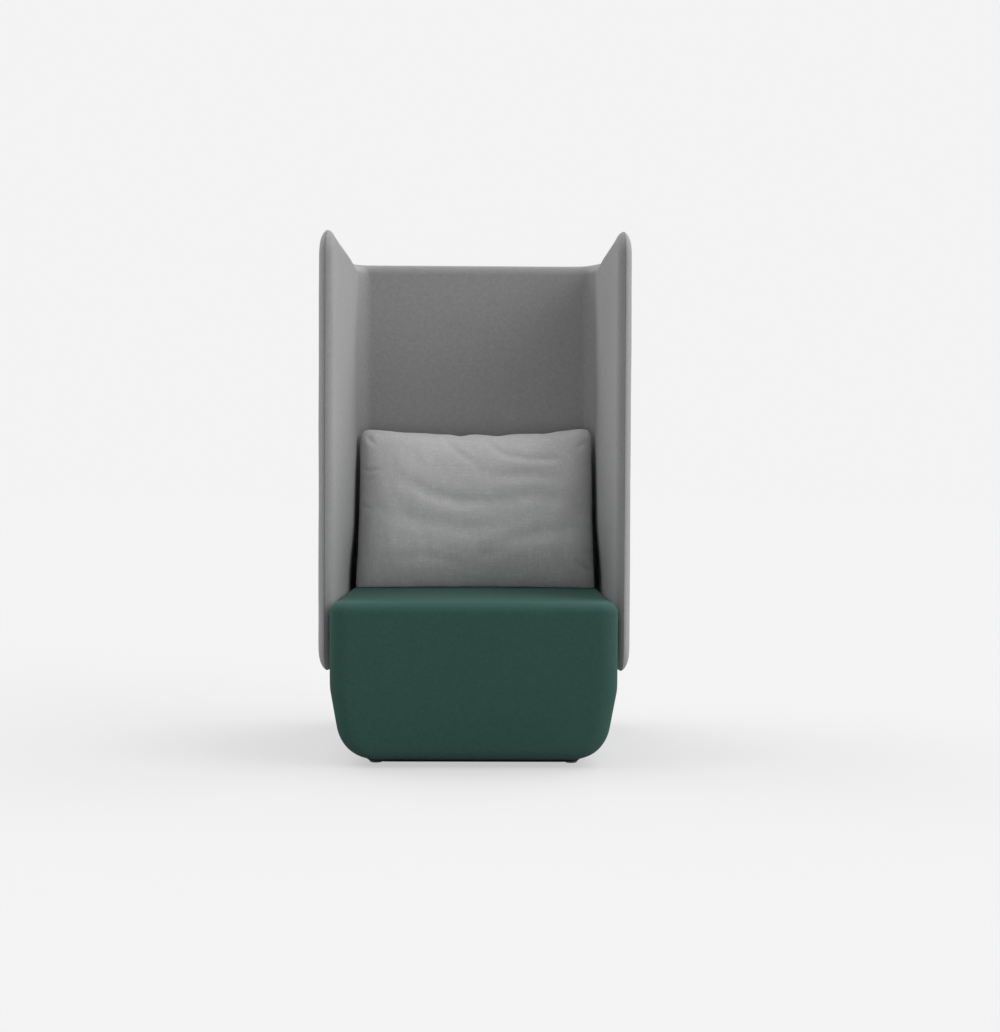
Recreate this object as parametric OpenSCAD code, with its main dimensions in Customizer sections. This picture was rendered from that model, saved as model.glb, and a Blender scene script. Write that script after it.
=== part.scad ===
// High back lounge chair: an upholstered seat block with a tub-shaped underside, a padded screen that
// wraps round its back and sides, a loose back cushion and four levelling feet.
// Millimetres. The floor is z = 0, the front of the seat looks along -Y, and X runs across the chair.

/* [Overall] */
// Width over the two wings of the screen
overall_w = 826; // [760:2:880]
// Depth from the front of the seat to the back of the screen
overall_d = 785; // [740:5:860]
// Height of the screen's top edge above the floor
overall_h = 1400; // [1250:10:1500]
// Height of the middle of the seat above the floor
seat_h = 427; // [400:5:460]

/* [Screen] */
// Thickness of the padded screen
screen_t = 40; // [36:1:48]
// Distance of the screen's lower edge below the seat
screen_drop = 200; // [180:2:220]
// Distance of the wings' front edge behind the front of the seat
wing_setback = 110; // [60:5:180]
// Radius of the screen's back corners, seen from above, at the outer face
screen_plan_r = 84; // [74:2:96]
// Radius of the wings' free corners, seen from the side
screen_side_r = 75; // [50:1:110]
// Depth over which the padding rounds off to the edge seam
screen_taper = 28; // [22:1:36]
// Thickness of the moulded plywood core
core_t = 12; // [9:1:14]
// Distance of the core's edge inside the edge seam
core_inset = 17; // [16:1:22]

/* [Seat block] */
// Radius of the block's upright front edges
block_front_r = 52; // [36:1:60]
// Radius of the edge round the seat
block_top_r = 28; // [20:1:40]
// Radius of the edge under the front and the back
block_bottom_r = 18; // [14:1:34]
// Radius of the tub-shaped lower sides
tub_r = 90; // [74:1:110]
// Height over which the sides lean in below the straight part
tub_h = 182; // [150:1:200]
// Lean of the lower sides
tub_angle = 10.5; // [6:0.5:14]
// Rise of the middle of the seat over its edge
seat_crown = 5; // [4:1:14]

/* [Padding and frame] */
// Thickness of the upholstery fabric with its backing
fabric_t = 2; // [1:0.5:3]
// Thickness of the foam round the frame
wrap_foam_t = 22; // [16:1:28]
// Thickness of the seat foam over the straps
seat_foam_t = 115; // [90:1:130]
// Thickness of the plywood boards
board_t = 18; // [15:1:20]
// Width of the elastic seat straps
strap_w = 50; // [40:1:60]
// Thickness of the elastic seat straps
strap_t = 2; // [1.5:0.5:3]
// Number of straps each way
strap_count = 5; // [3:1:6]

/* [Feet] */
// Height of the block's underside above the floor
foot_h = 16; // [12:1:22]
// Radius of a foot at its top
foot_r = 24; // [18:1:28]
// Radius of a foot where it meets the floor
foot_sole_r = 16; // [12:1:17]
// Distance of the feet inside the sides of the block
foot_side = 118; // [112:1:150]
// Distance of the front feet behind the front of the seat
foot_front = 88; // [80:1:130]
// Distance of the rear feet ahead of the back of the block
foot_rear = 110; // [90:1:130]
// Diameter of the levelling stud
stud_d = 8; // [6:1:10]
// Travel of the levelling stud
foot_travel = 10; // [6:1:12]

/* [Cushion] */
// Gap between the cushion and each wing
cushion_side_gap = 8; // [6:1:20]
// Height of the cushion along its lean
cushion_h = 531; // [440:1:560]
// How much of that height is pressed flat on the seat
cushion_sink = 35; // [20:1:45]
// Depth of the cushion's front swell
cushion_front = 92; // [70:1:105]
// Depth of the cushion's back swell
cushion_back = 66; // [45:1:80]
// Lean of the cushion from upright
cushion_lean = 17; // [10:1:19]
// How far the top edge draws in between its corners
cushion_draw_top = 26; // [4:1:32]
// How far each side edge draws in between its corners
cushion_draw_side = 9; // [2:1:14]

/* [Hidden] */

// Gap between pieces that lie against each other
fit_gap = 0.3;
// Gap between a cover and its padding, which clears the flats of their curves
pad_gap = 0.8;
// Radial gap between a stud and the nut it turns in
running_gap = 0.05;
// Gap between the seat block and the screen round it
screen_gap = 0.8;
// Overrun of a cut past the surface it cuts
overrun = 1;

// Sections of the curves, as counts
side_steps = 8;
plan_steps = 8;
tub_steps = 6;
round_steps = 5;
corner_steps = 5;
straight_steps = 4;
cushion_steps_x = 20;
cushion_steps_z = 14;
// Depths into the padded edge, as shares of its taper
taper_shares = [0, 0.05, 0.2, 0.45, 0.72, 1];
// Rings over the seat, as shares of its half width
crown_shares = [0.78, 0.52, 0.26];

// Screen: half thickness, and the middle surface's half width, back line and corner radius
screen_half = screen_t / 2;
mid_x = overall_w / 2 - screen_half;
mid_y = overall_d / 2 - screen_half;
mid_r = screen_plan_r - screen_half;
screen_ground = seat_h - screen_drop;
wing_y = wing_setback - overall_d / 2;
inner_x = mid_x - screen_half;
inner_y = mid_y - screen_half;
seam_gap = fit_gap / 2;
core_half = core_t / 2;
core_low = screen_ground + core_inset;
foam_margin = 1.5;
foam_inset = fabric_t + foam_margin;
foam_lip = 2;
foam_step_share = 0.3;

// Seat block: half width, front and back lines, and the height of the edge of the seat
block_x = inner_x - screen_gap;
block_front = -overall_d / 2;
block_back = inner_y - screen_gap;
block_mid = (block_front + block_back) / 2;
block_rear_r = screen_plan_r - screen_t - screen_gap;
edge_h = seat_h - seat_crown;
crown_x = block_x - block_top_r;
crown_y = (block_back - block_front) / 2 - block_top_r;
// Inset of the centre of the tub's arc from the straight side
tub_centre = (tub_h - tub_r) * tan(tub_angle) + tub_r / cos(tub_angle);
tub_first_angle = 6.5;
tub_last_angle = 90 - tub_angle;
// Where the tub's foam begins, as a step of its arc
tub_foam_step = 3;

// Frame: everything stands inside the wrap foam
foam_line = fabric_t + pad_gap;
frame_line = foam_line + wrap_foam_t + fit_gap;
board_line = frame_line + board_t;
frame_x = block_x - frame_line;
deck_h = seat_h - seat_crown - fabric_t - seat_foam_t;
strap_top = deck_h + 2 * strap_t;
tub_bend = foot_h + tub_h;
board_reach = deck_h - tub_bend;
flat_x = block_x - tub_centre;
floor_low = foot_h + fit_gap;
floor_high = floor_low + board_t;
floor_margin = 5;
floor_cut = board_t + max(block_front_r, block_rear_r);
panel_low = foot_h + block_bottom_r / 3;
rib_drop = 40;
rib_window_share = 0.6;
corner_block = 42;
corner_block_share = 0.2;

// Straps: spread of their middles, as a share of the frame
strap_spread_share = 0.72;

// Screws that join the frame's panels
screw_r = 2.5;
screw_head_r = 5;
screw_head_t = 3;
screw_length = 50;
screw_shares = [0.2, 0.8];

// Bolts that hold the screen to the frame
bolt_r = 4;
bolt_head_r = 6.5;
bolt_head_t = 5;
washer_r = 10;
washer_t = 1.6;
// Half way up where the core and the frame's boards face each other
bolt_h = (max(core_low, tub_bend) + deck_h) / 2;
wing_bolt_shares = [-0.4, 0.4];
back_bolt_shares = [-0.55, 0, 0.55];
nut_wall = 1.4;
nut_flange_r = 10;
nut_flange_t = 1.2;
nut_depth_share = 0.8;

// Feet
stud_r = stud_d / 2;
stud_top = floor_high + stud_d;
cloth_t = 1;
cloth_lap = 3;
foot_top = foot_h - cloth_t - 2 * fit_gap;
foot_edge = 4;
front_foot_y = block_front + foot_front;
rear_foot_y = block_back - foot_rear;
foot_x = block_x - foot_side;

// Cushion: half width and half height, and how square its sides, top and bottom are
cushion_x = inner_x - cushion_side_gap;
cushion_z = cushion_h / 2;
side_power = 4;
top_power = 4;
foot_power = 8;
cushion_corner_share = 0.06;
filling_gap = 0.8;

// Colours, as shares of full red, green and blue
green_cloth = [0.184, 0.282, 0.259];
grey_cloth = [0.5, 0.5, 0.5];
pale_cloth = [0.62, 0.62, 0.62];
dark_cloth = [0.08, 0.08, 0.08];
foam_yellow = [0.86, 0.8, 0.58];
plywood = [0.76, 0.62, 0.43];
steel = [0.66, 0.67, 0.69];
elastic = [0.14, 0.14, 0.15];
foot_brown = [0.16, 0.1, 0.09];
fibre_white = [0.9, 0.9, 0.88];

// Lists and solids from points

function reversed(list) = [for (i = [len(list) - 1 : -1 : 0]) list[i]];

function quarter(k, steps) = 90 * k / steps;

// A closed solid over a stack of rings, each end closed on a point
module ring_solid(rings, first_point, last_point) {
    n = len(rings[0]);
    last = len(rings) - 1;
    points = concat([first_point], [for (ring = rings) each ring], [last_point]);
    function at(k, j) = 1 + k * n + j % n;
    faces = concat(
        [for (j = [0 : n - 1]) [0, at(0, j), at(0, j + 1)]],
        [for (k = [0 : last - 1], j = [0 : n - 1]) [at(k, j), at(k + 1, j + 1), at(k, j + 1)]],
        [for (k = [0 : last - 1], j = [0 : n - 1]) [at(k, j), at(k + 1, j), at(k + 1, j + 1)]],
        [for (j = [0 : n - 1]) [len(points) - 1, at(last, j + 1), at(last, j)]]
    );
    polyhedron(points, faces, convexity = 6);
}

// A closed solid between two grids of points with the same rows, the near one facing -Y or inwards
module slab_solid(near_grid, far_grid) {
    rows = len(near_grid) - 1;
    columns = len(near_grid[0]) - 1;
    count = (rows + 1) * (columns + 1);
    points = concat([for (row = near_grid) each row], [for (row = far_grid) each row]);
    function n(i, j) = i * (columns + 1) + j;
    function f(i, j) = count + n(i, j);
    cells = [for (i = [0 : rows - 1], j = [0 : columns - 1]) [i, j]];
    faces = concat(
        [for (c = cells) [n(c[0], c[1]), n(c[0] + 1, c[1] + 1), n(c[0] + 1, c[1])]],
        [for (c = cells) [n(c[0], c[1]), n(c[0], c[1] + 1), n(c[0] + 1, c[1] + 1)]],
        [for (c = cells) [f(c[0], c[1]), f(c[0] + 1, c[1]), f(c[0] + 1, c[1] + 1)]],
        [for (c = cells) [f(c[0], c[1]), f(c[0] + 1, c[1] + 1), f(c[0], c[1] + 1)]],
        [for (i = [0 : rows - 1]) [n(i, 0), n(i + 1, 0), f(i + 1, 0)]],
        [for (i = [0 : rows - 1]) [n(i, 0), f(i + 1, 0), f(i, 0)]],
        [for (i = [0 : rows - 1]) [n(i + 1, columns), n(i, columns), f(i, columns)]],
        [for (i = [0 : rows - 1]) [n(i + 1, columns), f(i, columns), f(i + 1, columns)]],
        [for (j = [0 : columns - 1]) [n(0, j + 1), n(0, j), f(0, j)]],
        [for (j = [0 : columns - 1]) [n(0, j + 1), f(0, j), f(0, j + 1)]],
        [for (j = [0 : columns - 1]) [n(rows, j), n(rows, j + 1), f(rows, j + 1)]],
        [for (j = [0 : columns - 1]) [n(rows, j), f(rows, j + 1), f(rows, j)]]
    );
    polyhedron(points, faces, convexity = 8);
}

// An upright outline drawn in X and Z, given a depth along Y that starts at a line
module extrude_y(start, depth) {
    translate([0, start + depth, 0])
        rotate([90, 0, 0])
            linear_extrude(height = depth) children();
}

// Screen

// Stops along the screen's middle surface, from the left wing's edge round to the right one's:
// place, inward direction and the distance in from the nearer wing edge
function wing_stops(inset) = [
    for (k = [0 : side_steps])
        inset + (screen_side_r - inset) * (1 - cos(quarter(k, side_steps)))
];

function corner_stops(side, first, step) = [
    for (k = [0 : plan_steps])
        let (turn = first + step * quarter(k, plan_steps))
        [
            side * (mid_x - mid_r) + mid_r * cos(turn),
            mid_y - mid_r + mid_r * sin(turn),
            -cos(turn),
            -sin(turn),
            overall_d,
        ]
];

function screen_stops(inset) = concat(
    [for (a = wing_stops(inset)) [-mid_x, wing_y + a, 1, 0, a]],
    corner_stops(-1, 180, -1),
    corner_stops(1, 90, -1),
    [for (a = reversed(wing_stops(inset))) [mid_x, wing_y + a, -1, 0, a]]
);

// Distance in from an outline with a round corner, for a point a from one side and b from the other
function edge_depth(a, b, r) = a < r && b < r ? r - norm([r - a, r - b]) : min(a, b);

// How far the outline's round corner has drawn in at a distance a from the wing's edge
function corner_rise(a, r) = a < r ? r - sqrt(max(0, r * r - (r - a) * (r - a))) : 0;

// Distance of a padded face from the middle surface, by its depth into the edge as a share
function rounded_face(edge_n, full_n) =
    function(share) edge_n + (full_n - edge_n) * sqrt(max(0, 1 - pow(1 - share, 2)));

function stepped_face(edge_n, full_n) = function(share) share > foam_step_share ? full_n : edge_n;

// One face of the screen's padding, inside an inset outline and on one side of the middle surface
function pad_grid(inset, taper, side, face) =
    let (r = screen_side_r - inset, low = screen_ground + inset, high = overall_h - inset)
    [
        for (stop = screen_stops(inset))
            let (a = stop[4] - inset, rise = corner_rise(a, r))
            [
                for (z = concat(
                    [for (share = taper_shares) low + rise + share * taper],
                    [for (share = reversed(taper_shares)) high - rise - share * taper]
                ))
                    let (
                        depth = min(edge_depth(a, z - low, r), edge_depth(a, high - z, r), taper),
                        n = side * face(depth / taper)
                    )
                    [stop[0] + stop[2] * n, stop[1] + stop[3] * n, z]
            ]
    ];

cover_face = rounded_face(seam_gap, screen_half);
lining_face = rounded_face(seam_gap, screen_half - fabric_t);

module screen_cover_inner() {
    color(grey_cloth)
        slab_solid(
            pad_grid(0, screen_taper, 1, cover_face),
            pad_grid(fabric_t, screen_taper - fabric_t, 1, lining_face)
        );
}

module screen_cover_outer() {
    color(grey_cloth)
        slab_solid(
            pad_grid(fabric_t, screen_taper - fabric_t, -1, lining_face),
            pad_grid(0, screen_taper, -1, cover_face)
        );
}

// The foam lies on the core, and past the core's edge it closes in on the seam
foam_taper = screen_taper - foam_inset;
foam_outside = rounded_face(seam_gap + foam_lip, screen_half - fabric_t - pad_gap);
foam_inside = stepped_face(seam_gap, core_half + fit_gap);

module screen_foam_inner() {
    color(foam_yellow)
        slab_solid(
            pad_grid(foam_inset, foam_taper, 1, foam_outside),
            pad_grid(foam_inset, foam_taper, 1, foam_inside)
        );
}

module screen_foam_outer() {
    color(foam_yellow)
        slab_solid(
            pad_grid(foam_inset, foam_taper, -1, foam_inside),
            pad_grid(foam_inset, foam_taper, -1, foam_outside)
        );
}

// The core's plan: the middle surface, made core_t thick
module core_plan() {
    stops = concat(
        [[-mid_x, wing_y + core_inset, 1, 0]],
        corner_stops(-1, 180, -1),
        corner_stops(1, 90, -1),
        [[mid_x, wing_y + core_inset, -1, 0]]
    );
    polygon(concat(
        [for (s = stops) [s[0] + s[2] * core_half, s[1] + s[3] * core_half]],
        [for (s = reversed(stops)) [s[0] - s[2] * core_half, s[1] - s[3] * core_half]]
    ));
}

// The core's side view, drawn as depth and height, with round free corners
module core_side() {
    r = screen_side_r - core_inset;
    front = wing_y + core_inset;
    high = overall_h - core_inset;
    translate([front + r, core_low]) square([overall_d, high - core_low]);
    translate([front, core_low + r]) square([overall_d, high - core_low - 2 * r]);
    for (z = [core_low + r, high - r])
        translate([front + r, z]) circle(r = r, $fn = 96);
}

// A cut or a piece at each place where a bolt runs out through the frame into the core
module at_bolts() {
    for (side = [-1, 1], share = wing_bolt_shares)
        translate([side * mid_x, block_mid + share * crown_y, bolt_h])
            rotate([0, -90 * side, 0]) children();
    for (share = back_bolt_shares)
        translate([share * block_x, mid_y, bolt_h])
            rotate([90, 0, 0]) children();
}

// In at_bolts the core's middle is zero and the inside of the chair is up
nut_r = bolt_r + nut_wall;
nut_length = nut_depth_share * core_t;
bolt_seat = screen_half + screen_gap + board_line;

module screen_core() {
    color(plywood)
        difference() {
            intersection() {
                linear_extrude(height = overall_h) core_plan();
                translate([-overall_w, 0, 0])
                    rotate([90, 0, 90])
                        linear_extrude(height = 2 * overall_w) core_side();
            }
            at_bolts() {
                translate([0, 0, -core_t])
                    cylinder(r = nut_r + running_gap, h = 2 * core_t, $fn = 48);
                translate([0, 0, -core_half - overrun])
                    cylinder(r = nut_flange_r + fit_gap, h = nut_flange_t + overrun, $fn = 48);
            }
        }
}

module screen_tee_nuts() {
    color(steel)
        at_bolts()
            difference() {
                union() {
                    translate([0, 0, -core_half])
                        cylinder(r = nut_flange_r, h = nut_flange_t, $fn = 48);
                    translate([0, 0, -core_half])
                        cylinder(r = nut_r, h = nut_length, $fn = 48);
                }
                translate([0, 0, -core_half - overrun])
                    cylinder(r = bolt_r + running_gap, h = nut_length + 2 * overrun, $fn = 48);
            }
}

module screen_bolts() {
    color(steel)
        at_bolts() {
            translate([0, 0, -core_half + fit_gap])
                cylinder(r = bolt_r, h = bolt_seat + washer_t + core_half, $fn = 48);
            translate([0, 0, bolt_seat + washer_t + fit_gap])
                cylinder(r = bolt_head_r, h = bolt_head_t, $fn = 6);
        }
}

module screen_washers() {
    color(steel)
        at_bolts()
            translate([0, 0, bolt_seat + fit_gap / 2])
                difference() {
                    cylinder(r = washer_r, h = washer_t, $fn = 48);
                    translate([0, 0, -overrun])
                        cylinder(r = bolt_r + running_gap, h = washer_t + 2 * overrun, $fn = 48);
                }
}

module bolt_holes() {
    at_bolts()
        cylinder(r = bolt_r + running_gap, h = bolt_seat + board_t, $fn = 48);
}

// Seat block

// Height of the seat at a place on it
function seat_z(x, y) =
    edge_h
    + seat_crown
        * max(0, 1 - pow(x / crown_x, 2))
        * max(0, 1 - pow((y - block_mid) / crown_y, 2));

// Points along one straight side or round corner of a ring, its first point only
function between(p, q) = [for (k = [1 : straight_steps - 1]) p + (q - p) * k / straight_steps];

function arc_points(cx, cy, r, first) = [
    for (k = [0 : corner_steps])
        let (turn = first + quarter(k, corner_steps))
        [cx + r * cos(turn), cy + r * sin(turn)]
];

// A ring round the block: a rectangle with round corners, drawn in by an inset at the sides and
// another at the front and the back
function block_plan(side_inset, end_inset, front_r, rear_r) =
    let (
        x = block_x - side_inset,
        y0 = block_front + end_inset,
        y1 = block_back - end_inset,
        a = arc_points(x - front_r, y0 + front_r, front_r, -90),
        b = arc_points(x - rear_r, y1 - rear_r, rear_r, 0),
        c = arc_points(rear_r - x, y1 - rear_r, rear_r, 90),
        d = arc_points(front_r - x, y0 + front_r, front_r, 180)
    )
    concat(
        a, between(a[corner_steps], b[0]),
        b, between(b[corner_steps], c[0]),
        c, between(c[corner_steps], d[0]),
        d, between(d[corner_steps], a[0])
    );

function at_height(plan, z) = [for (p = plan) [p[0], p[1], z]];

// Inset of the front and the back at a height above the underside
function end_inset(rise) = corner_rise(min(rise, block_bottom_r), block_bottom_r);

// Turn of the tub's arc at a step, from straight down
function tub_turn(k) = tub_first_angle + (tub_last_angle - tub_first_angle) * k / tub_steps;

// Rings up the tub-shaped lower part, drawn in by a wall
function tub_rings(wall) = [
    for (k = [0 : tub_steps])
        let (turn = tub_turn(k), ends = end_inset(tub_r - tub_r * cos(turn)))
        at_height(
            block_plan(
                tub_centre - (tub_r - wall) * sin(turn),
                ends + wall,
                block_front_r - wall,
                block_rear_r - wall
            ),
            foot_h + tub_r - (tub_r - wall) * cos(turn)
        )
];

// Rings round the edge of the seat and over its crown, drawn in by a wall
function top_rings(wall) =
    let (
        r = block_top_r - wall,
        rim = block_plan(block_top_r, block_top_r, block_front_r - block_top_r, block_rear_r - block_top_r)
    )
    concat(
        [
            for (k = [0 : round_steps])
                let (inset = block_top_r - r * cos(quarter(k, round_steps)))
                at_height(
                    block_plan(inset, inset, block_front_r - inset, block_rear_r - inset),
                    edge_h - block_top_r + r * sin(quarter(k, round_steps))
                )
        ],
        [
            for (share = crown_shares)
                [
                    for (p = rim)
                        let (x = p[0] * share, y = block_mid + (p[1] - block_mid) * share)
                        [x, y, seat_z(x, y) - wall]
                ]
        ]
    );

function bend_ring(wall) = [
    at_height(block_plan(wall, wall, block_front_r - wall, block_rear_r - wall), tub_bend)
];

function block_rings(wall) = concat(tub_rings(wall), bend_ring(wall), top_rings(wall));

module base_cover() {
    color(green_cloth)
        ring_solid(
            concat(reversed(block_rings(fabric_t)), block_rings(0)),
            [0, block_mid, seat_h - fabric_t],
            [0, block_mid, seat_h]
        );
}

module seat_foam() {
    low = strap_top + fit_gap;
    plan = block_plan(foam_line, foam_line, block_front_r - foam_line, block_rear_r - foam_line);
    color(foam_yellow)
        ring_solid(
            concat([at_height(plan, low)], top_rings(foam_line)),
            [0, block_mid, low],
            [0, block_mid, seat_h - foam_line]
        );
}

// Outline of the block's side at an inset, from a step of the tub's arc up to a height
function side_line(inset, first_step, top) = concat(
    [
        for (k = [first_step : tub_steps])
            [
                flat_x + (tub_r - inset) * sin(tub_turn(k)),
                foot_h + tub_r - (tub_r - inset) * cos(tub_turn(k)),
            ]
    ],
    [[block_x - inset, tub_bend - inset * tan(tub_angle / 2)], [block_x - inset, top]]
);

// Foam over the flat part of the front or the back, between the block's upright round edges
module end_foam(start, corner_r) {
    low = foot_h + block_bottom_r;
    half = [
        for (p = side_line(foam_line, tub_foam_step, strap_top)) [p[0] + foam_line - corner_r, p[1]]
    ];
    extrude_y(start, wrap_foam_t)
        intersection() {
            polygon(concat(half, [for (p = reversed(half)) [-p[0], p[1]]]));
            translate([-block_x, low]) square([2 * block_x, strap_top - low]);
        }
}

module front_foam() {
    color(foam_yellow) end_foam(block_front + foam_line, block_front_r);
}

module rear_foam() {
    color(foam_yellow)
        difference() {
            end_foam(block_back - foam_line - wrap_foam_t, block_rear_r);
            bolt_holes();
        }
}

module side_foam(side) {
    outer = side_line(foam_line, tub_foam_step, strap_top);
    inner = side_line(foam_line + wrap_foam_t, tub_foam_step, strap_top);
    margin = end_inset(tub_r - tub_r * cos(tub_turn(tub_foam_step)));
    start = block_front + block_front_r + margin;
    color(foam_yellow)
        difference() {
            extrude_y(start, block_back - block_rear_r - margin - start)
                scale([side, 1]) polygon(concat(outer, reversed(inner)));
            bolt_holes();
        }
}

module side_foam_left() {
    side_foam(-1);
}

module side_foam_right() {
    side_foam(1);
}

// Frame

// Upright outline of the frame's cross panels, up to a height
module panel_outline(top) {
    half = concat([[flat_x, panel_low]], side_line(frame_line, 0, top));
    polygon(concat(half, [for (p = reversed(half)) [-p[0], p[1]]]));
}

module frame_front_panel() {
    color(plywood)
        extrude_y(block_front + frame_line, board_t) panel_outline(deck_h);
}

module frame_rear_panel() {
    color(plywood)
        difference() {
            extrude_y(block_back - board_line, board_t) panel_outline(deck_h);
            bolt_holes();
        }
}

module frame_centre_rib() {
    top = deck_h - rib_drop;
    x = frame_x - board_t - fit_gap;
    low = floor_high + fit_gap;
    window_x = rib_window_share * x;
    window_low = low + board_t;
    color(plywood)
        extrude_y(block_mid - board_t / 2, board_t)
            difference() {
                intersection() {
                    panel_outline(deck_h);
                    translate([-x, low]) square([2 * x, top - low]);
                }
                translate([-window_x, window_low])
                    square([2 * window_x, top - board_t - window_low]);
            }
}

module frame_side(side) {
    start = block_front + board_line + fit_gap;
    low = tub_bend;
    color(plywood)
        difference() {
            translate([side > 0 ? frame_x - board_t : -frame_x, start, low])
                cube([board_t, block_back - board_line - fit_gap - start, deck_h + strap_t - low]);
            bolt_holes();
        }
}

module frame_side_left() {
    frame_side(-1);
}

module frame_side_right() {
    frame_side(1);
}

// Places of the four feet: side, place across and place along
function foot_places() = [for (side = [-1, 1], y = [front_foot_y, rear_foot_y]) [side * foot_x, y]];

// Half width inside the tub's wall, at a rise above the underside
function tub_reach(rise) = flat_x + sqrt(pow(tub_r - foam_line, 2) - pow(tub_r - rise, 2)) - floor_margin;

module frame_floor() {
    start = block_front + board_line + fit_gap;
    end = block_back - board_line - fit_gap;
    high_x = tub_reach(floor_high - foot_h);
    cut_x = high_x - floor_cut;
    color(plywood)
        difference() {
            intersection() {
                extrude_y(start, end - start)
                    polygon([
                        [-flat_x, floor_low], [flat_x, floor_low],
                        [high_x, floor_high], [-high_x, floor_high],
                    ]);
                linear_extrude(height = floor_high + overrun)
                    polygon([
                        [-high_x, start + floor_cut], [-cut_x, start],
                        [cut_x, start], [high_x, start + floor_cut],
                        [high_x, end - floor_cut], [cut_x, end],
                        [-cut_x, end], [-high_x, end - floor_cut],
                    ]);
            }
            for (p = foot_places())
                translate([p[0], p[1], floor_low - overrun])
                    cylinder(r = stud_r + nut_wall + running_gap, h = board_t + 2 * overrun, $fn = 48);
        }
}

module corner_blocks() {
    low = tub_bend + corner_block_share * board_reach;
    high = deck_h - corner_block_share * board_reach;
    x = frame_x - board_t - fit_gap - corner_block;
    front = block_front + board_line + fit_gap;
    rear = block_back - board_line - fit_gap - corner_block;
    color(plywood)
        for (side = [-1, 1], y = [front, rear])
            translate([side > 0 ? x : -x - corner_block, y, low])
                cube([corner_block, corner_block, high - low]);
}

// Screws through the cross panels into the ends of the side boards
module frame_screws() {
    x = frame_x - board_t / 2;
    color(steel)
        for (side = [-1, 1], share = screw_shares) {
            translate([side * x, block_front + frame_line, tub_bend + share * board_reach])
                rotate([-90, 0, 0]) screw();
            translate([side * x, block_back - frame_line, tub_bend + share * board_reach])
                rotate([90, 0, 0]) screw();
        }
}

module screw() {
    cylinder(r1 = screw_head_r, r2 = screw_r, h = screw_head_t, $fn = 32);
    cylinder(r = screw_r, h = screw_length, $fn = 32);
}

module seat_straps_long() {
    start = block_front + frame_line;
    color(elastic)
        for (k = [0 : strap_count - 1]) {
            x = strap_spread_share * frame_x * (2 * k / (strap_count - 1) - 1);
            translate([x - strap_w / 2, start, deck_h])
                cube([strap_w, block_back - frame_line - start, strap_t]);
        }
}

module seat_straps_cross() {
    reach = strap_spread_share * crown_y;
    color(elastic)
        for (k = [0 : strap_count - 1]) {
            y = block_mid + reach * (2 * k / (strap_count - 1) - 1);
            translate([-frame_x, y - strap_w / 2, deck_h + strap_t])
                cube([2 * frame_x, strap_w, strap_t]);
        }
}

// Fabric under the block, which laps over the edge of its cover
module dust_cover() {
    side = tub_centre - tub_r * sin(tub_first_angle) - cloth_lap;
    ends = end_inset(tub_r - tub_r * cos(tub_first_angle)) - cloth_lap;
    color(dark_cloth)
        difference() {
            translate([0, 0, foot_h - cloth_t])
                linear_extrude(height = cloth_t)
                    polygon(block_plan(side, ends, block_front_r, block_rear_r));
            for (p = foot_places())
                translate([p[0], p[1], foot_h - cloth_t - overrun])
                    cylinder(r = stud_r + nut_wall, h = cloth_t + 2 * overrun, $fn = 48);
        }
}

// Feet

module foot_tee_nuts() {
    color(steel)
        for (p = foot_places())
            translate([p[0], p[1], 0])
                difference() {
                    union() {
                        translate([0, 0, floor_high])
                            cylinder(r = nut_flange_r, h = nut_flange_t, $fn = 48);
                        translate([0, 0, floor_low + fit_gap])
                            cylinder(r = stud_r + nut_wall, h = board_t, $fn = 48);
                    }
                    cylinder(r = stud_r + running_gap, h = floor_high + board_t, $fn = 48);
                }
}

module foot_pad(x, y) {
    color(foot_brown)
        translate([x, y, 0])
            difference() {
                union() {
                    cylinder(r1 = foot_sole_r, r2 = foot_r, h = foot_top - foot_edge, $fn = 64);
                    translate([0, 0, foot_top - foot_edge])
                        cylinder(r = foot_r, h = foot_edge, $fn = 64);
                }
                translate([0, 0, foot_top / 2])
                    cylinder(r = stud_r, h = foot_top, $fn = 48);
            }
}

module foot_stud(x, y) {
    color(steel)
        translate([x, y, foot_top / 2])
            cylinder(r = stud_r, h = stud_top + foot_travel - foot_top / 2, $fn = 48);
}

// Cushion

// Stops across the cushion, close together near its edges
function cushion_stops(steps) = [for (k = [0 : steps]) sin(90 * (2 * k / steps - 1))];

function cushion_swell(a, b) = sqrt((1 - pow(a, side_power)) * (1 - pow(b, b > 0 ? top_power : foot_power)));

// The cushion leans back until its swell just clears the screen
cushion_reach = max([
    for (b = cushion_stops(cushion_steps_z))
        cushion_z * (1 + b) * sin(cushion_lean) + cushion_back * cushion_swell(0, b) * cos(cushion_lean)
]);
cushion_foot_y = inner_y - fit_gap - cushion_reach;

// A point of the cushion: a across and b up, from -1 to 1, at n in front of its middle plane.
// A margin draws it in all round, and what would lie below the seat is pressed flat on it.
function cushion_point(a, b, n, margin) =
    let (
        x = a * sqrt(1 - cushion_corner_share * b * b)
            * (cushion_x - margin - cushion_draw_side * (1 - b * b)),
        top_draw = cushion_draw_top * (1 - a * a) * max(0, b),
        v = cushion_z + b * sqrt(1 - cushion_corner_share * a * a) * (cushion_z - margin) - top_draw,
        y = cushion_foot_y + v * sin(cushion_lean) - n * cos(cushion_lean),
        z = edge_h + (v - cushion_sink) * cos(cushion_lean) + n * sin(cushion_lean)
    )
    [x, y, max(z, seat_z(x, y) + fit_gap + margin)];

// One face of the cushion, at a depth from its middle plane, drawn in by a margin
function cushion_grid(depth, edge, side, margin) = [
    for (a = cushion_stops(cushion_steps_x))
        [
            for (b = cushion_stops(cushion_steps_z))
                cushion_point(a, b, side * (edge + (depth - edge) * cushion_swell(a, b)), margin)
        ]
];

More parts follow.
